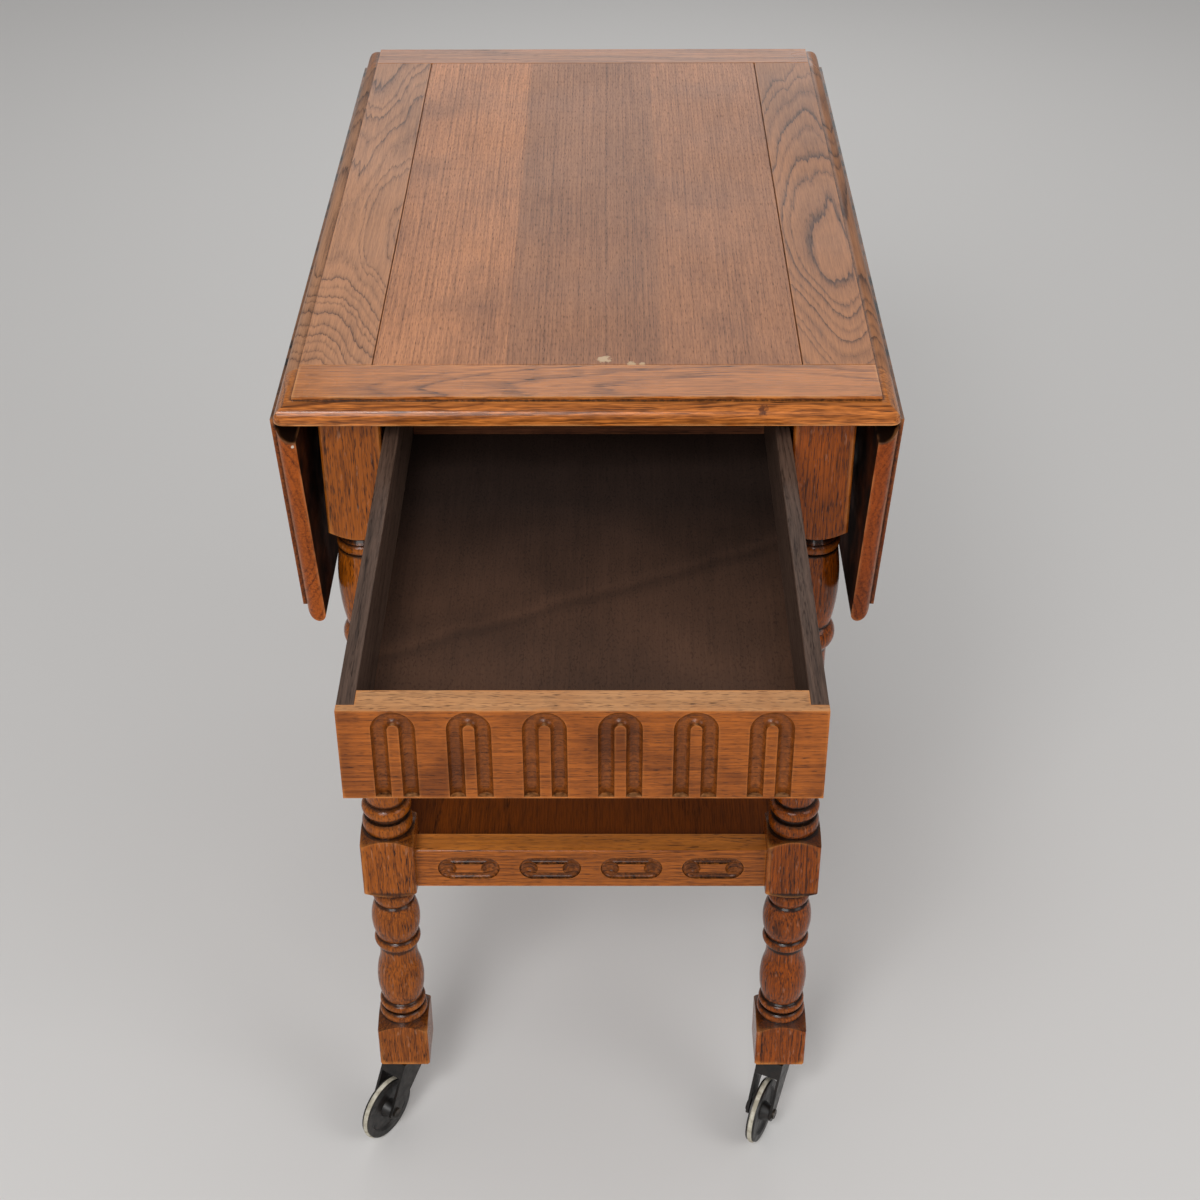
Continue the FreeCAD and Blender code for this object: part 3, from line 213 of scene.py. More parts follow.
rub = eased(polish_and_hollow_shade, near_edge, 0.85, 0.45)
rub = reckon(polish_and_hollow_shade, "MULTIPLY", rub, eased(polish_and_hollow_shade, patch, 0.37, 0.58))
rub = held(polish_and_hollow_shade, "MULTIPLY", rub, taken["Rub amount"])
coat = mixed(polish_and_hollow_shade, rub, taken["Colour"], taken["Rubbed"])
polish_and_hollow_shade.links.new(mixed(polish_and_hollow_shade, wax_and_shade, coat, taken["Wax"]), given["Colour"])
dull = reckon(polish_and_hollow_shade, "MULTIPLY_ADD", wide_patch, 0.22, taken["Shine"])
dull = reckon(polish_and_hollow_shade, "MULTIPLY_ADD", taken["Open grain"], 0.25, dull)
polish_and_hollow_shade.links.new(held(polish_and_hollow_shade, "MULTIPLY_ADD", wax_and_shade, 0.15, dull), given["Roughness"])


def stain(red, green, blue):
    """A colour as the eye reads it on a screen, from 0 to 255, for the shader."""
    shares = [part / 255 for part in (red, green, blue)]
    light = [((part + 0.055) / 1.055) ** 2.4 if part > 0.04045 else part / 12.92 for part in shares]
    return tuple(light + [1])


# Where the turned grooves lie up a leg, and half their height: old wax and painted shade fill them.
GROOVES = ((0.1310, 0.0024), (0.1405, 0.0020), (0.1995, 0.0024), (0.2110, 0.0015), (0.2478, 0.0018),
           (0.2630, 0.0018), (0.2690, 0.0024), (0.3394, 0.0034), (0.3533, 0.0020), (0.5003, 0.0024),
           (0.5220, 0.0018), (0.5857, 0.0014), (0.5985, 0.0030))
turned_grooves = bpy.data.node_groups.new("turned_grooves", "ShaderNodeTree")
taken, given = group_sockets(turned_grooves, [("Up", "Float", 0.0)], [("Groove", "Float", None)])
deep = 0.0
for groove_middle, groove_half in GROOVES:
    off = reckon(turned_grooves, "ABSOLUTE", reckon(turned_grooves, "SUBTRACT", taken["Up"], groove_middle))
    off = eased(turned_grooves, off, groove_half * 1.3, groove_half * 0.5)
    deep = reckon(turned_grooves, "MAXIMUM", off, deep)
turned_grooves.links.new(deep, given["Groove"])

# Which of the piece's X, Y and Z stands for each of the log's three ways.
GRAIN_ORDER = {"x": (1, 0, 2), "y": (0, 1, 2), "z": (0, 2, 1),
               "y_upright": (2, 1, 0), "x_upright": (2, 0, 1)}
PORE_DEPTH = 0.0004
POLISH_ROUGHNESS = 0.14


def faced(tree, colour, figure, place, pore_colour, sides):
    """Gives each face that looks one of the given ways its colour, a stain on some and painted light or shade
    on others, and says how matt it has become.
    """
    matt = 0.0
    for way, face_colour, face_matt in sides:
        looks_so = eased(tree, looking(tree, way), 0.8, 0.95)
        recoloured = mixed(tree, figure.outputs["Open grain"], face_colour, pore_colour)
        streak = noise(tree, place, across=300, along=6, detail=2.0)
        recoloured = tinted(tree, recoloured, eased(tree, streak, 0.34, 0.66, 0.8, 1.14))
        blotch = blotches(tree, scale=38.0, detail=4.0)
        looks_so = reckon(tree, "MULTIPLY", looks_so, eased(tree, blotch, 0.3, 0.6, 0.72, 1.0))
        colour = mixed(tree, looks_so, colour, recoloured)
        matt = reckon(tree, "MULTIPLY_ADD", looks_so, face_matt, matt)
    return colour, matt


def chipped(tree, colour, chips):
    """Small torn places, each with its middle, its reach and the colour of the wood laid bare."""
    for middle, reach, bare in chips:
        off = join(tree, "VectorMath", [on_piece(tree), middle], operation="DISTANCE").outputs["Value"]
        off = reckon(tree, "MULTIPLY_ADD", blotches(tree, scale=420.0, detail=3.0), reach * 1.6, off)
        colour = mixed(tree, eased(tree, off, reach * 1.7, reach * 1.4), colour, bare)
    return colour


def grooves_waxed_and_shaded(tree, colour, up, wax_and_shade, amount):
    """Old wax and painted shade in the turned grooves and on the level shoulders, facing up and down."""
    shoulder = eased(tree, reckon(tree, "ABSOLUTE", looking(tree, (0, 0, 1))), 0.6, 0.92)
    ragged_up = off_centre(tree, blotches(tree, scale=260.0, detail=3.0))
    ragged_up = reckon(tree, "MULTIPLY_ADD", ragged_up, 0.003, up)
    filled = join(tree, "Group", {"Up": ragged_up}, node_tree=turned_grooves).outputs[0]
    filled = reckon(tree, "MULTIPLY", reckon(tree, "MAXIMUM", filled, shoulder), amount)
    return mixed(tree, filled, colour, wax_and_shade)


def painted_cove_shade(tree, colour, apart, middle_x, middle_z, reach, dark):
    """Paints shade into the hollow of a rule joint, about its middle line, and onto the thin lip above it."""
    section = join(tree, "CombineXYZ", [apart[0], 0.0, apart[2]]).outputs[0]
    off = join(tree, "VectorMath", [section, (middle_x, 0, middle_z)], operation="DISTANCE")
    within = eased(tree, off.outputs["Value"], reach, reach - 0.002)
    end_face = reckon(tree, "ABSOLUTE", looking(tree, (0, 1, 0)))
    lip = eased(tree, apart[2], middle_z - 0.005, middle_z - 0.002)
    lip = reckon(tree, "MULTIPLY", eased(tree, end_face, 0.5, 0.2), lip)
    return mixed(tree, reckon(tree, "MAXIMUM", within, lip), colour, dark)


def oak(name, grain, heart, pale, dark, pore_colour, ring=0.004, wander=0.012, taper=0.02, bend=0.08,
        tilt=0.0, contrast=0.6, pores=0.8, scatter=0.25, fibre=1.6, pore_across=1500, pore_along=110,
        flecks=0.0, wax_and_shade=stain(38, 20, 12), rubbed=stain(196, 128, 76), hollow=0.012, full_hollow=0.58,
        edge=0.003, wax_and_shade_amount=0.8, rub_amount=0.5, shine=0.36, coat=0.2, gloss=0.12, bump=0.25,
        boards=None, sides=(), chips=(), grooves=0.0, cove=None, open_end=None):
    """A polished oak: which way its grain runs, where the heart of its log lay, and its stain.

    The boards hook moves the figure from board to board and gives a tint, which on the top's panel
    also paints a sheen and on the drawer's bottom paints shade. Each of the sides is the way a face
    looks, its colour, which on some faces is painted light or shade, and how matt it is. A cove is
    the X and Z of its middle line, its reach and the colour of the shade painted into it. Towards an
    open end, a height, the wax and painted shade in the hollows thin out.
    """
    material = bpy.data.materials.new(name)
    material.use_nodes = True
    tree = material.node_tree
    shader = tree.nodes["Principled BSDF"]
    apart = join(tree, "SeparateXYZ", [on_piece(tree)]).outputs
    place = join(tree, "CombineXYZ", [apart[index] for index in GRAIN_ORDER[grain]]).outputs[0]
    place = join(tree, "VectorMath", [place, heart], operation="SUBTRACT").outputs[0]
    tint = None
    if boards:
        place, tint = boards(tree, apart, place)
    figure = join(tree, "Group", {
        "Place": place, "Pale": pale, "Dark": dark, "Pore": pore_colour, "Ring": ring, "Wander": wander,
        "Taper": taper, "Contrast": contrast, "Pores": pores, "Scatter": scatter, "Fibre": fibre,
        "Pore across": pore_across, "Pore along": pore_along, "Bend": bend, "Flecks": flecks,
        "Tilt": tilt}, node_tree=oak_figure)
    colour = figure.outputs["Colour"]
    if tint:
        colour = tinted(tree, colour, tint)
    colour, matt = faced(tree, colour, figure, place, pore_colour, sides)
    colour = chipped(tree, colour, chips)
    if grooves:
        colour = grooves_waxed_and_shaded(tree, colour, apart[2], wax_and_shade, grooves)
    if cove:
        colour = painted_cove_shade(tree, colour, apart, *cove)
    if open_end:
        wax_and_shade_amount = eased(tree, apart[2], open_end, open_end + 0.012, 0.66 * wax_and_shade_amount, wax_and_shade_amount)
    finish = join(tree, "Group", {
        "Colour": colour, "Wax": wax_and_shade, "Rubbed": rubbed, "Open grain": figure.outputs["Open grain"],
        "Hollow reach": hollow, "Edge reach": edge, "Wax amount": wax_and_shade_amount, "Rub amount": rub_amount,
        "Shine": shine, "Full hollow": full_hollow}, node_tree=polish_and_hollow_shade)
    rough = finish.outputs["Roughness"]
    shader.inputs["Coat Weight"].default_value = coat
    if sides:
        rough = reckon(tree, "MAXIMUM", rough, reckon(tree, "MULTIPLY", matt, 0.85))
        tree.links.new(reckon(tree, "MULTIPLY_ADD", matt, -coat, coat), shader.inputs["Coat Weight"])
    raised = join(tree, "Bump", {"Strength": bump, "Distance": PORE_DEPTH,
                                 "Height": figure.outputs["Height"]})
    tree.links.new(finish.outputs["Colour"], shader.inputs["Base Color"])
    tree.links.new(rough, shader.inputs["Roughness"])
    tree.links.new(raised.outputs[0], shader.inputs["Normal"])
    shader.inputs["Specular IOR Level"].default_value = gloss
    shader.inputs["Coat Roughness"].default_value = POLISH_ROUGHNESS
    return material


MEETING_POINTS = 0.00001
FLAT_WITHIN = math.radians(0.5)
ARRIS_FROM = math.radians(38)


def dress(node_name, material, worn=0.0):
    """Gives a CAD piece its finish, and eases its arrises by so much where the real one is worn."""
    piece = cad_pieces[node_name]
    piece.data.materials.clear()
    piece.data.materials.append(material)
    if worn:
        weld = piece.modifiers.new("weld", "WELD")
        weld.merge_threshold = MEETING_POINTS
        flat = piece.modifiers.new("flat", "DECIMATE")
        flat.decimate_type = "DISSOLVE"
        flat.angle_limit = FLAT_WITHIN
        ease = piece.modifiers.new("ease", "BEVEL")
        ease.width = worn
        ease.segments = 2
        ease.limit_method = "ANGLE"
        ease.angle_limit = ARRIS_FROM
        ease.harden_normals = False
        ease.use_clamp_overlap = True
        shade = piece.modifiers.new("shade", "WEIGHTED_NORMAL")
        shade.keep_sharp = False
        shade.weight = 60


# Each leg: the X and Y of its log's heart, its pale and dark stain, and the wax and painted shade in its
# grooves.
LEGS = (("front_left", -0.19, -0.10, (153, 80, 17), (76, 34, 6), 0.75),
        ("front_right", 0.12, -0.20, (145, 68, 8), (66, 28, 3), 0.95),
        ("back_left", -0.12, 0.36, (160, 80, 14), (80, 34, 5), 0.8),
        ("back_right", 0.2, 0.39, (154, 75, 12), (74, 31, 4), 0.85))
for corner, heart_x, heart_y, pale, dark, grooves in LEGS:
    leg_oak = oak("turned_oak_" + corner, "z", (heart_x, 0.0, heart_y), stain(*pale), stain(*dark),
                  stain(34, 14, 5), ring=0.0034, wander=0.02, taper=0.006, contrast=0.6, pores=1.0,
                  scatter=0.6, fibre=2.0, pore_across=1400, pore_along=125, flecks=0.35,
                  wax_and_shade=stain(24, 12, 7), rubbed=stain(200, 128, 62), hollow=0.016, edge=0.006,
                  wax_and_shade_amount=1.0, rub_amount=0.9, shine=0.24, coat=0.3, gloss=0.09, bump=0.3,
                  grooves=grooves)
    dress(corner + "_leg", leg_oak)

# Upper carcase: a side apron each side and one at the back, tenoned into the legs, with a thin rail
# above and below the drawer. The same stained oak as the legs, with less handling.
WORN_ARRIS = 0.0006
apron_oak = oak("apron_oak", "y_upright", (0.5, 0.1, 0.09), stain(148, 80, 28), stain(92, 44, 14),
                stain(40, 18, 8), ring=0.0045, contrast=0.6, shine=0.38)
cross_rail_oak = oak("cross_rail_oak", "x_upright", (0.8, 0.2, -0.2), stain(148, 80, 28),
                     stain(92, 44, 14), stain(40, 18, 8), ring=0.0042, contrast=0.6, shine=0.38)
for name in ("left_apron", "right_apron"):
    dress(name, apron_oak, WORN_ARRIS)
for name in ("back_apron", "upper_front_rail", "lower_front_rail"):
    dress(name, cross_rail_oak, WORN_ARRIS)

# Drawer runners with their guides, the kickers that keep the drawer from tipping, and its stops:
# plain unpolished softwood, grey with age, fixed inside the aprons where the drawer hides them.
RUNNER_ARRIS = 0.0005
bare_wood = oak("bare_wood", "y", (0.03, 0.0, 0.5), stain(150, 112, 76), stain(104, 74, 48),
                stain(70, 48, 32), ring=0.0035, pores=0.3, wax_and_shade_amount=0.4, rub_amount=0.1, shine=0.7,
                coat=0.0, bump=0.35)
for name in ("left_runner", "right_runner", "drawer_kickers", "drawer_stops"):
    dress(name, bare_wood, RUNNER_ARRIS)

# Lopers: two slips of oak each side, let through the apron to carry a raised leaf, and the keepers
# fixed under the top that hold their inner ends.
loper_oak = oak("loper_oak", "x", (0.1, 0.0, 0.62), stain(156, 104, 62), stain(110, 70, 40),
                stain(64, 40, 26), ring=0.0035, shine=0.5, coat=0.1)
for name in ("left_lopers", "right_lopers", "loper_keepers"):
    dress(name, loper_oak, WORN_ARRIS)

# Lower rails: tenoned between the legs' middle blocks, grooved for the shelf. The front one carries
# four lozenges cut with a gouge, dark with wax and painted shade, and its upper face is painted paler for the
# light that falls on it from the front.
SIDE_RAIL_ARRIS = 0.001
CARVED_RAIL_ARRIS = 0.0008
side_rail_oak = oak("side_rail_oak", "y_upright", (0.2, 0.1, 0.09), stain(154, 84, 30), stain(98, 47, 15),
                    stain(42, 19, 8), ring=0.0042, contrast=0.6, shine=0.36)
# The upward face's paler colour is painted light, for the light that falls on the rail's top.
carved_rail_oak = oak("carved_rail_oak", "x_upright", (0.20, 0.2, -0.12), stain(168, 92, 30),
                      stain(88, 42, 10), stain(40, 18, 7), ring=0.004, wander=0.01, taper=0.03,
                      contrast=0.7, pores=0.95, scatter=0.4, fibre=2.0, wax_and_shade=stain(26, 11, 5),
                      rubbed=stain(196, 122, 58), hollow=0.012, full_hollow=0.64, edge=0.0025,
                      wax_and_shade_amount=1.05, rub_amount=0.55, shine=0.3, coat=0.25,
                      sides=[((0, 0, 1), stain(184, 110, 44), 0.0)])
for name in ("shelf_left_rail", "shelf_right_rail", "shelf_back_rail"):
    dress(name, side_rail_oak, SIDE_RAIL_ARRIS)
dress("shelf_front_rail", carved_rail_oak, CARVED_RAIL_ARRIS)

# Shelf: one thin board, stained dark and never polished much, held in the grooves of the four
# lower rails and notched round the legs' middle blocks.
shelf_oak = oak("shelf_oak", "y", (0.05, 0.0, 0.9), stain(105, 48, 2), stain(54, 24, 2), stain(26, 11, 4),
                ring=0.005, wander=0.03, contrast=0.5, shine=0.5, coat=0.0, gloss=0.05)
dress("shelf_board", shelf_oak, WORN_ARRIS)

# Top: a panel of three jointed boards between two side boards, with a rail across each end, planed
# flush. One stepped round moulding runs along all four edges and shines where hands go.
LEFT_JOINT, RIGHT_JOINT = -0.053, 0.05
TOP_Z = 0.72


def three_boards(tree, apart, place):
    """Moves the figure on and changes the tint from one jointed board to the next, and paints a sheen on the
    far end.
    """
    past_left = reckon(tree, "GREATER_THAN", apart[0], LEFT_JOINT)
    past_right = reckon(tree, "GREATER_THAN", apart[0], RIGHT_JOINT)
    number = reckon(tree, "ADD", past_left, past_right)
    shift = join(tree, "CombineXYZ", [reckon(tree, "MULTIPLY", number, 0.11),
                                      reckon(tree, "MULTIPLY", number, 0.83), 0.0]).outputs[0]
    place = join(tree, "VectorMath", [place, shift], operation="ADD").outputs[0]
    blot = eased(tree, blotches(tree, scale=11.0, detail=4.0), 0.5, 0.72, 0.0, 0.8)
    tint = mixed(tree, past_left, (1.08, 1.06, 1.02, 1), (0.74, 0.745, 0.77, 1))
    tint = mixed(tree, past_right, tint, (0.86, 0.85, 0.84, 1))
    tint = mixed(tree, blot, tint, (0.66, 0.66, 0.72, 1))
    # Painted sheen: the panel is painted paler towards its far end, for the light it reflects there.
    painted_sheen_at_back = eased(tree, apart[1], 0.18, 0.42, 1.0, 1.14)
    return place, tinted(tree, tint, painted_sheen_at_back)


def dusty(tree, apart, place):
    """The left board's moulding has gone grey along its length."""
    outward = eased(tree, looking(tree, (-1, 0, 0)), 0.06, 0.25)
    return place, mixed(tree, outward, (1, 1, 1, 1), (0.98, 1.06, 1.2, 1))


def nosed(tree, apart, place):
    """The nosing kept its stain where the flat has worn: deeper, and streaked along the grain."""
    ahead = eased(tree, looking(tree, (0, -1, 0)), 0.12, 0.4)
    streak = eased(tree, noise(tree, place, across=1000, along=75, detail=3.0), 0.38, 0.66)
    deep = mixed(tree, streak, (1.16, 1.06, 0.96, 1), (0.52, 0.44, 0.38, 1))
    return place, mixed(tree, ahead, (1, 1, 1, 1), deep)


panel_oak = oak("panel_oak", "y", (-0.42, 0.0, 0.55), stain(190, 127, 84), stain(114, 70, 45),
                stain(68, 40, 28), ring=0.0026, wander=0.004, taper=0.002, contrast=0.5, pores=0.75,
                scatter=0.45, fibre=1.1, pore_across=1900, pore_along=150, rub_amount=0.2, shine=0.4,
                coat=0.12, boards=three_boards, sides=[((0, 0, -1), stain(120, 84, 56), 1.0)],
                chips=[((0.011, -0.1265, TOP_Z), 0.0055, stain(196, 166, 132)),
                       ((0.029, -0.1325, TOP_Z), 0.0035, stain(190, 160, 124)),
                       ((0.036, -0.1330, TOP_Z), 0.0028, stain(190, 158, 122))])
left_board_oak = oak("left_board_oak", "y", (-0.185, 0.04, 0.632), stain(188, 129, 86),
                     stain(96, 59, 38), stain(60, 34, 22), ring=0.004, wander=0.042, taper=-0.165,
                     bend=0.06, tilt=0.085, contrast=0.85, pores=0.95, scatter=0.1, fibre=0.8,
                     shine=0.4, coat=0.15, boards=dusty)
right_board_oak = oak("right_board_oak", "y", (0.179, 0.01, 0.6700), stain(178, 117, 72),
                      stain(88, 53, 33), stain(56, 32, 20), ring=0.0042, wander=0.032, taper=0.16,
                      bend=0.05, tilt=-0.08, contrast=0.95, pores=1.0, scatter=0.1, fibre=0.8,
                      shine=0.4, coat=0.15)
front_rail_oak = oak("end_rail_oak", "x", (-0.165, 0.1, 0.60), stain(196, 120, 56), stain(104, 56, 23),
                     stain(50, 25, 12), ring=0.0036, wander=0.016, taper=0.05, contrast=0.75, pores=1.0,
                     scatter=0.3, fibre=1.5, pore_along=70, wax_and_shade=stain(30, 14, 7),
                     rubbed=stain(220, 156, 96), hollow=0.0026, wax_and_shade_amount=1.1, rub_amount=0.7,
                     shine=0.27, coat=0.3, boards=nosed,
                     chips=[((0.113, -0.1815, 0.7125), 0.0045, stain(96, 52, 27))])
back_rail_oak = oak("back_rail_oak", "x", (0.45, 0.1, 0.60), stain(182, 114, 62), stain(100, 58, 30),
                    stain(58, 31, 18), ring=0.005, wander=0.014, taper=0.03, contrast=0.7,
                    wax_and_shade=stain(30, 14, 7), hollow=0.0035, wax_and_shade_amount=1.1, rub_amount=0.5, shine=0.3,
                    coat=0.25)
for name, material in (("top_panel", panel_oak), ("top_left_board", left_board_oak),
                       ("top_right_board", right_board_oak), ("top_front_rail", front_rail_oak),
                       ("top_back_rail", back_rail_oak)):
    dress(name, material, WORN_ARRIS)

# Drop leaves: one board each, with the top's moulding on three edges and a cove along the hinge line,
# painted dark for the shade in it. The face that is underneath when the leaf is up was never polished and is
# dark with age, and is painted darker still and matt for the shade it hangs in.
HINGE_X, HINGE_Z = 0.190, 0.7045
COVE_REACH = 0.0155


def edged(outward, deep):
    """A leaf's broad face has faded like the top. Its ends and moulding kept a deeper stain."""

    def leaf_tint(tree, apart, place):
        broad = eased(tree, looking(tree, (outward, 0, 0)), 0.7, 0.96)
        return place, mixed(tree, broad, deep, (1, 1, 1, 1))

    return leaf_tint


# Each leaf: which way it looks, the X of its log's heart, the tint of its ends, and its chips.
LEAVES = (("left", -1, -0.30, (0.787, 0.46, 0.094, 1),
           [((-0.1905, -0.1855, 0.6885), 0.0018, stain(186, 176, 160))]),
          ("right", 1, 0.31, (0.60, 0.308, 0.064, 1), []))
# The inner face's near-black is part stain and part painted shade; the cove's dark is painted shade.
for side, outward, heart_x, deep, chips in LEAVES:
    leaf_oak = oak(side + "_leaf_oak", "y_upright", (0.62, 0.1, heart_x), stain(176, 110, 64),
                   stain(90, 51, 29), stain(50, 26, 15), ring=0.0055, wander=0.035, taper=0.05,
                   contrast=0.75, wax_and_shade=stain(26, 12, 6), wax_and_shade_amount=1.0, rub_amount=0.45, shine=0.32,
                   coat=0.22, gloss=0.08, boards=edged(outward, deep), chips=chips,
                   sides=[((-outward, 0, 0), stain(24, 13, 8), 1.0)],
                   cove=(outward * HINGE_X, HINGE_Z, COVE_REACH, stain(22, 12, 7)))
    dress(side + "_leaf", leaf_oak, WORN_ARRIS)

# Hinges: two iron rule joint hinges under each leaf, each a short plate screwed to the top and a
# longer one screwed to the leaf, with a pin through their knuckles on the joint's own centre.


def iron(name, pale, dark, metallic, low, high):
    """Aged metal or hard rubber, mottled in colour and in its shine, from low to high roughness."""
    material = bpy.data.materials.new(name)
    material.use_nodes = True
    tree = material.node_tree
    shader = tree.nodes["Principled BSDF"]
    mottle = blotches(tree, scale=180.0, detail=5.0)
    worn = ramp(tree, mottle, [(0.38, 0), (0.62, 1)])
    raised = join(tree, "Bump", {"Strength": 0.3, "Distance": 0.0002, "Height": mottle})
    tree.links.new(mixed(tree, worn, dark, pale), shader.inputs["Base Color"])
    tree.links.new(eased(tree, mottle, 0.3, 0.7, high, low), shader.inputs["Roughness"])
    tree.links.new(raised.outputs[0], shader.inputs["Normal"])
    shader.inputs["Metallic"].default_value = metallic
    return material


hinge_iron = iron("hinge_iron", stain(120, 112, 104), stain(66, 56, 48), metallic=0.9, low=0.35, high=0.6)
for side in ("left", "right"):
    for piece in ("_hinge_top_plates", "_hinge_leaf_plates", "_hinge_pins"):
        dress(side + piece, hinge_iron)

# Hinge screws: slotted countersunk iron, two in each top plate and three in each leaf plate. Their
# heads stand just proud of the plates, and no two slots line up.
SCREW_RADIUS, SCREW_HIGH, SLOT_HALF = 0.0026, 0.0006, 0.00035
RIM_STEPS, HALF_RIM_STEPS = 20, 10
FIRST_TWIST, NEXT_TWIST = 0.7, 1.3
HINGE_PLACES = (-0.065, 0.335)
PLATE_FACE = 0.0021
LEAF_HANG = math.radians(93.4)
TOP_SCREW_X, TOP_SCREWS_ALONG = 0.1785, (-0.014, 0.014)
LEAF_SCREWS = ((0.014, -0.013), (0.014, 0.013), (0.032, 0.0))


def screw_heads(name, places, body):
    """Slotted heads in one mesh: each place is a centre and the way the head looks."""
    corners, faces = [], []

    def prism(outline, low, high, turned_to, centre):
        start = len(corners)
        for rise in (low, high):
            corners.extend(centre + turned_to @ Vector((x, y, rise)) for x, y in outline)
        count = len(outline)
        faces.append(tuple(start + index for index in reversed(range(count))))
        faces.append(tuple(start + count + index for index in range(count)))
        for index in range(count):
            after = (index + 1) % count
            faces.append((start + index, start + after, start + count + after, start + count + index))

    def on_rim(angle):
        return SCREW_RADIUS * math.cos(angle), SCREW_RADIUS * math.sin(angle)

    rim = [on_rim(2 * math.pi * step / RIM_STEPS) for step in range(RIM_STEPS)]
    slot_edge = math.asin(SLOT_HALF / SCREW_RADIUS)
    half_rim = [on_rim(slot_edge + (math.pi - 2 * slot_edge) * step / HALF_RIM_STEPS)
                for step in range(HALF_RIM_STEPS + 1)]
    for number, (centre, looks) in enumerate(places):
        twist = Matrix.Rotation(FIRST_TWIST + NEXT_TWIST * number, 3, "Z")
        turned_to = looks.to_track_quat("Z", "Y").to_matrix() @ twist
        prism(rim, 0.0, SCREW_HIGH / 2, turned_to, centre)
        prism(half_rim, SCREW_HIGH / 2, SCREW_HIGH, turned_to, centre)
        prism([(-x, -y) for x, y in half_rim], SCREW_HIGH / 2, SCREW_HIGH, turned_to, centre)
    mesh = bpy.data.meshes.new(name)
    mesh.from_pydata(corners, [], faces)
    mesh.materials.append(hinge_iron)
    heads = bpy.data.objects.new(name, mesh)
    bpy.context.scene.collection.objects.link(heads)
    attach(heads, body)


for side, way in (("left", -1), ("right", 1)):
    top_places, leaf_places = [], []
    looks_in = Vector((-way * math.sin(LEAF_HANG), 0, -math.cos(LEAF_HANG)))
    for hinge_y in HINGE_PLACES:
        for along in TOP_SCREWS_ALONG:
            centre = Vector((way * TOP_SCREW_X, hinge_y + along, HINGE_Z - PLATE_FACE))
            top_places.append((centre, Vector((0, 0, -1))))
        for reach, along in LEAF_SCREWS:
            x = HINGE_X + reach * math.cos(LEAF_HANG) - PLATE_FACE * math.sin(LEAF_HANG)
            z = HINGE_Z - reach * math.sin(LEAF_HANG) - PLATE_FACE * math.cos(LEAF_HANG)
            leaf_places.append((Vector((way * x, hinge_y + along, z)), looks_in))
    screw_heads(side + "_hinge_top_screws", top_places, "frame")
    screw_heads(side + "_hinge_leaf_screws", leaf_places, side + "_leaf")

# Drawer: a carved oak front with six arched flutes, two sides, a back and a thin ply bottom. The
# inside is stained dark and the upper edge of the front is paler bare oak. The bottom is painted darker
# towards the back, for the shade where it runs under the top, and its crease is painted in light and shade.
DRAWER_ARRIS = 0.0007
FLUTE_FOOT = 0.6255
CREASE_SLOPE, CREASE_PLACE, CREASE_WIDTH = -0.486, 0.280, 0.007


def handled(tree, apart, place):
    """Hands and uneven polish have left the drawer's front in soft darker patches."""
    patch = eased(tree, blotches(tree, scale=30.0, detail=4.0), 0.42, 0.68)
    return place, mixed(tree, patch, (1.06, 1.06, 1.06, 1), (0.6, 0.56, 0.52, 1))


def painted_shade_and_crease(tree, apart, place):
    """Paints shade on the bottom towards the back, where it runs under the top, clouds it, and paints one old
    soft crease across it as a ridge with shade on one side and light on the other.
    """
    # Painted shade: the bottom is darker towards the back, where it runs under the top.
    inside = eased(tree, apart[1], -0.38, -0.17)
    tint = mixed(tree, inside, (1.3, 1.25, 1.16, 1), (0.4, 0.5, 0.66, 1))
    waver = off_centre(tree, blotches(tree, scale=22.0, detail=3.0))
    line = reckon(tree, "MULTIPLY_ADD", apart[0], CREASE_SLOPE, apart[1])
    line = reckon(tree, "ADD", line, CREASE_PLACE)
    line = reckon(tree, "MULTIPLY_ADD", waver, 0.02, line)
    off = reckon(tree, "DIVIDE", line, CREASE_WIDTH)
    fade = reckon(tree, "EXPONENT", reckon(tree, "MULTIPLY", reckon(tree, "MULTIPLY", off, off), -1.0))
    # The crease is painted as a soft ridge: shade on one side, light on the other.
    crease_light_and_shade = reckon(tree, "MULTIPLY_ADD", reckon(tree, "MULTIPLY", off, fade), 0.42, 1.0)
    cloud = eased(tree, blotches(tree, scale=12.0, detail=4.0), 0.3, 0.7, 0.74, 1.26)
    return place, tinted(tree, tint, reckon(tree, "MULTIPLY", crease_light_and_shade, cloud))


drawer_front_oak = oak("drawer_front_oak", "x_upright", (0.30, 0.2, -0.70), stain(157, 85, 28),
                       stain(86, 41, 11), stain(48, 22, 9), ring=0.0046, wander=0.012, taper=0.02,
                       contrast=0.4, pores=0.85, scatter=0.4, fibre=1.4, pore_across=1500,
                       pore_along=160, wax_and_shade=stain(34, 16, 8), rubbed=stain(196, 122, 60), hollow=0.01,
                       full_hollow=0.44, edge=0.0025, wax_and_shade_amount=0.95, rub_amount=0.6, shine=0.3,
                       coat=0.2, boards=handled, open_end=FLUTE_FOOT,
                       sides=[((0, 0, 1), stain(186, 134, 88), 0.4), ((0, 1, 0), stain(72, 52, 40), 1.0)])
drawer_side_oak = oak("drawer_side_oak", "y_upright", (0.50, 0.0, 0.35), stain(90, 70, 59),
                      stain(50, 37, 30), stain(28, 18, 13), ring=0.004, rubbed=stain(120, 94, 74),
                      rub_amount=0.2, shine=0.5, coat=0.05)
drawer_back_oak = oak("drawer_back_oak", "x_upright", (0.50, 0.0, 0.35), stain(108, 64, 42),
                      stain(62, 35, 23), stain(28, 16, 11), ring=0.004, rub_amount=0.2, shine=0.5,
                      coat=0.05)
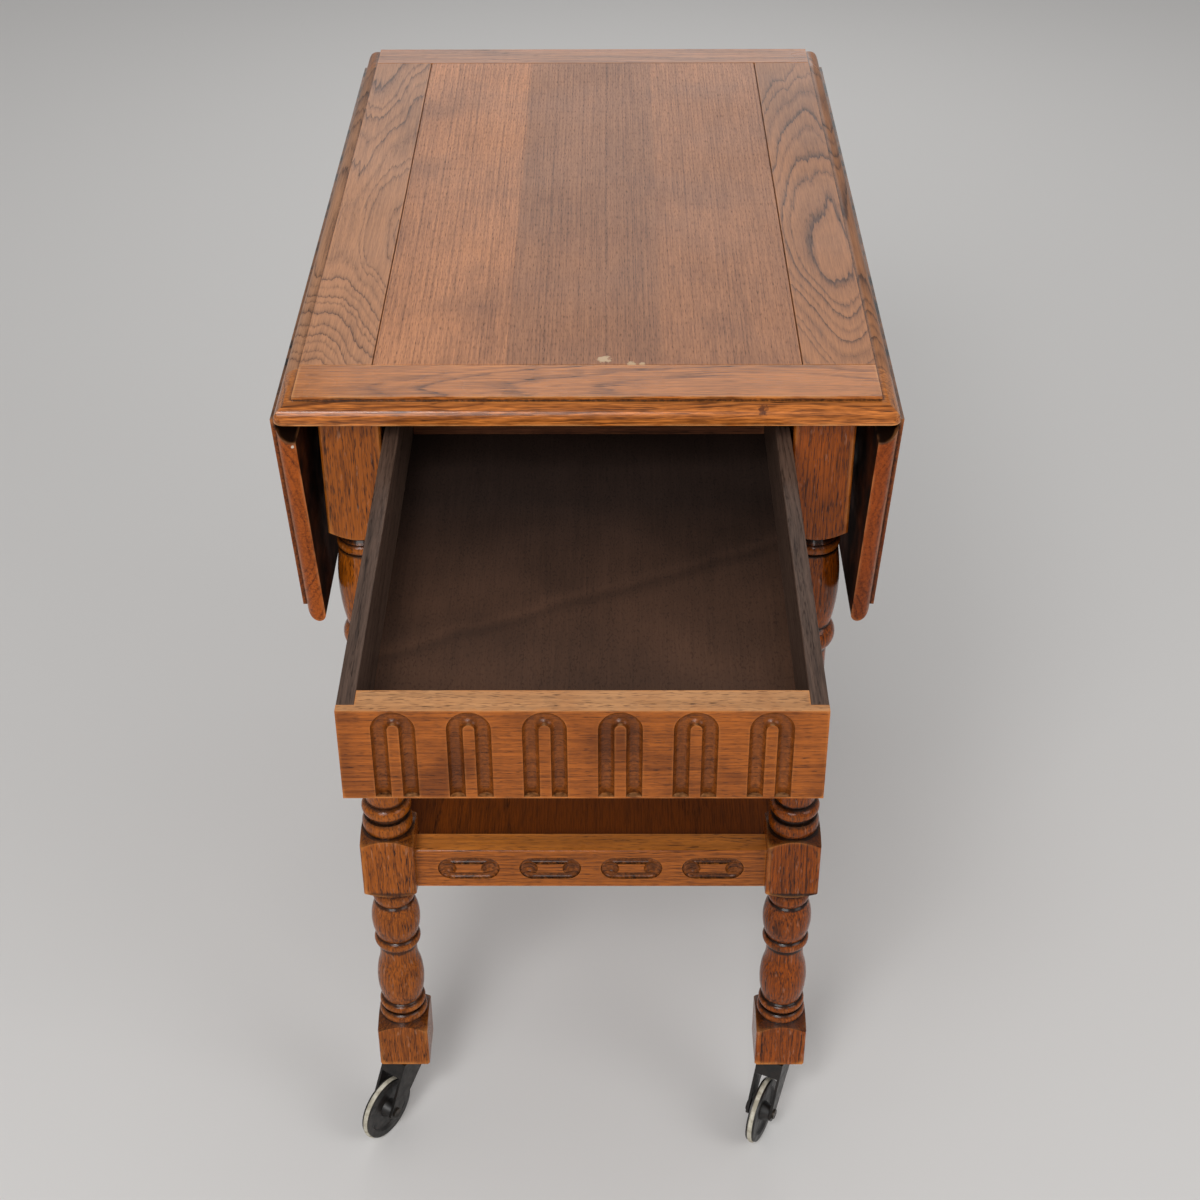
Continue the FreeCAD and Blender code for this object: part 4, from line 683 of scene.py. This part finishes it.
drawer_ply = oak("drawer_ply", "y", (-0.20, 0.0, 0.40), stain(78, 53, 39), stain(46, 30, 21),
                 stain(26, 16, 12), ring=0.013, wander=0.05, contrast=0.12, pores=0.35, scatter=0.6,
                 fibre=0.6, pore_across=800, pore_along=330, rub_amount=0.1, shine=0.6, coat=0.0,
                 gloss=0.2, boards=painted_shade_and_crease)
dress("drawer_front", drawer_front_oak, DRAWER_ARRIS)
for name in ("drawer_left_side", "drawer_right_side"):
    dress(name, drawer_side_oak, DRAWER_ARRIS)
dress("drawer_back", drawer_back_oak, DRAWER_ARRIS)
dress("drawer_bottom", drawer_ply)

# Casters: a plate under each foot with its stem driven into the leg, and under it a pressed horn,
# painted black, that swivels on the plate's pivot. A dark wheel with a pale worn tyre turns on an axle.
caster_iron = iron("caster_iron", stain(36, 30, 26), stain(17, 14, 12), metallic=0.2, low=0.3, high=0.5)
axle_steel = iron("axle_steel", stain(62, 54, 46), stain(30, 26, 22), metallic=0.6, low=0.35, high=0.5)
wheel_black = iron("wheel_black", stain(34, 29, 26), stain(15, 13, 12), metallic=0.0, low=0.35, high=0.55)
tyre_grey = iron("tyre_grey", stain(198, 192, 176), stain(160, 152, 134), metallic=0.0, low=0.55, high=0.75)
dress("caster_plates", caster_iron)
for corner in ("front_left", "front_right", "back_left", "back_right"):
    dress(corner + "_horn", caster_iron)
    dress(corner + "_axle", axle_steel)
    dress(corner + "_wheel", wheel_black)
    dress(corner + "_tyre", tyre_grey)

# Studio: a plain pale floor under an even sky, a broad soft light and a small window from the
# front, a fill from the right, a low light behind, and the camera where the photograph was taken.
FLOOR_HALF = 9.0
SKY_STRENGTH = 0.4
floor_mesh = bpy.data.meshes.new("floor")
floor_mesh.from_pydata([(-FLOOR_HALF, -FLOOR_HALF, 0), (FLOOR_HALF, -FLOOR_HALF, 0),
                        (FLOOR_HALF, FLOOR_HALF, 0), (-FLOOR_HALF, FLOOR_HALF, 0)], [], [(0, 1, 2, 3)])
floor = bpy.data.objects.new("floor", floor_mesh)
bpy.context.scene.collection.objects.link(floor)
floor_paint = bpy.data.materials.new("floor_paint")
floor_paint.use_nodes = True
floor_paint.node_tree.nodes["Principled BSDF"].inputs["Base Color"].default_value = stain(216, 214, 212)
floor_paint.node_tree.nodes["Principled BSDF"].inputs["Roughness"].default_value = 0.75
floor_mesh.materials.append(floor_paint)
sky = bpy.data.worlds.new("sky")
sky.use_nodes = True
sky.node_tree.nodes["Background"].inputs["Color"].default_value = (1.0, 1.0, 1.0, 1)
sky.node_tree.nodes["Background"].inputs["Strength"].default_value = SKY_STRENGTH
bpy.context.scene.world = sky

# Each lamp: where it stands, what it is turned to, its width in metres and its watts.
LAMPS = (("key", (-0.7, -2.7, 2.35), (0, 0, 0.45), 1.8, 54),
         ("window", (-0.5, -1.7, 2.3), (0, 0, 0.5), 0.5, 10),
         ("fill", (2.1, -1.5, 1.8), (0, 0, 0.45), 1.6, 16),
         ("back", (0.15, 2.4, 1.65), (0, 0.2, 0.7), 1.7, 10.5))
for name, spot, aim, across, watts in LAMPS:
    lamp = bpy.data.lights.new(name, "AREA")
    lamp.shape = "DISK"
    lamp.size = across
    lamp.energy = watts
    holder = bpy.data.objects.new(name, lamp)
    holder.location = spot
    holder.rotation_euler = (Vector(aim) - Vector(spot)).to_track_quat("-Z", "Y").to_euler()
    bpy.context.scene.collection.objects.link(holder)
bpy.context.scene.view_settings.view_transform = "Standard"

# The camera: the picture's width and the focal length in its pixels, and how far it was tipped,
# turned and rolled.
PICTURE, FOCAL, SENSOR = 1200, 1993.2, 36
PITCH, YAW, ROLL = math.radians(35.67), math.radians(-0.35), math.radians(-0.22)
VIEW_PLACE = (0.0149, -1.2918, 1.3601)
view_data = bpy.data.cameras.new("view")
view_data.sensor_width = SENSOR
view_data.lens = SENSOR * FOCAL / PICTURE
view = bpy.data.objects.new("view", view_data)
ahead = Vector((math.sin(YAW) * math.cos(PITCH), math.cos(YAW) * math.cos(PITCH), -math.sin(PITCH)))
right = Vector((math.cos(YAW), -math.sin(YAW), 0))
up = right.cross(ahead)
turned_right = right * math.cos(ROLL) + up * math.sin(ROLL)
turned_up = up * math.cos(ROLL) - right * math.sin(ROLL)
facing = Matrix((turned_right, turned_up, -ahead)).transposed().to_4x4()
view.matrix_world = Matrix.Translation(VIEW_PLACE) @ facing
bpy.context.scene.collection.objects.link(view)
bpy.context.scene.camera = view

bpy.context.view_layer.update()
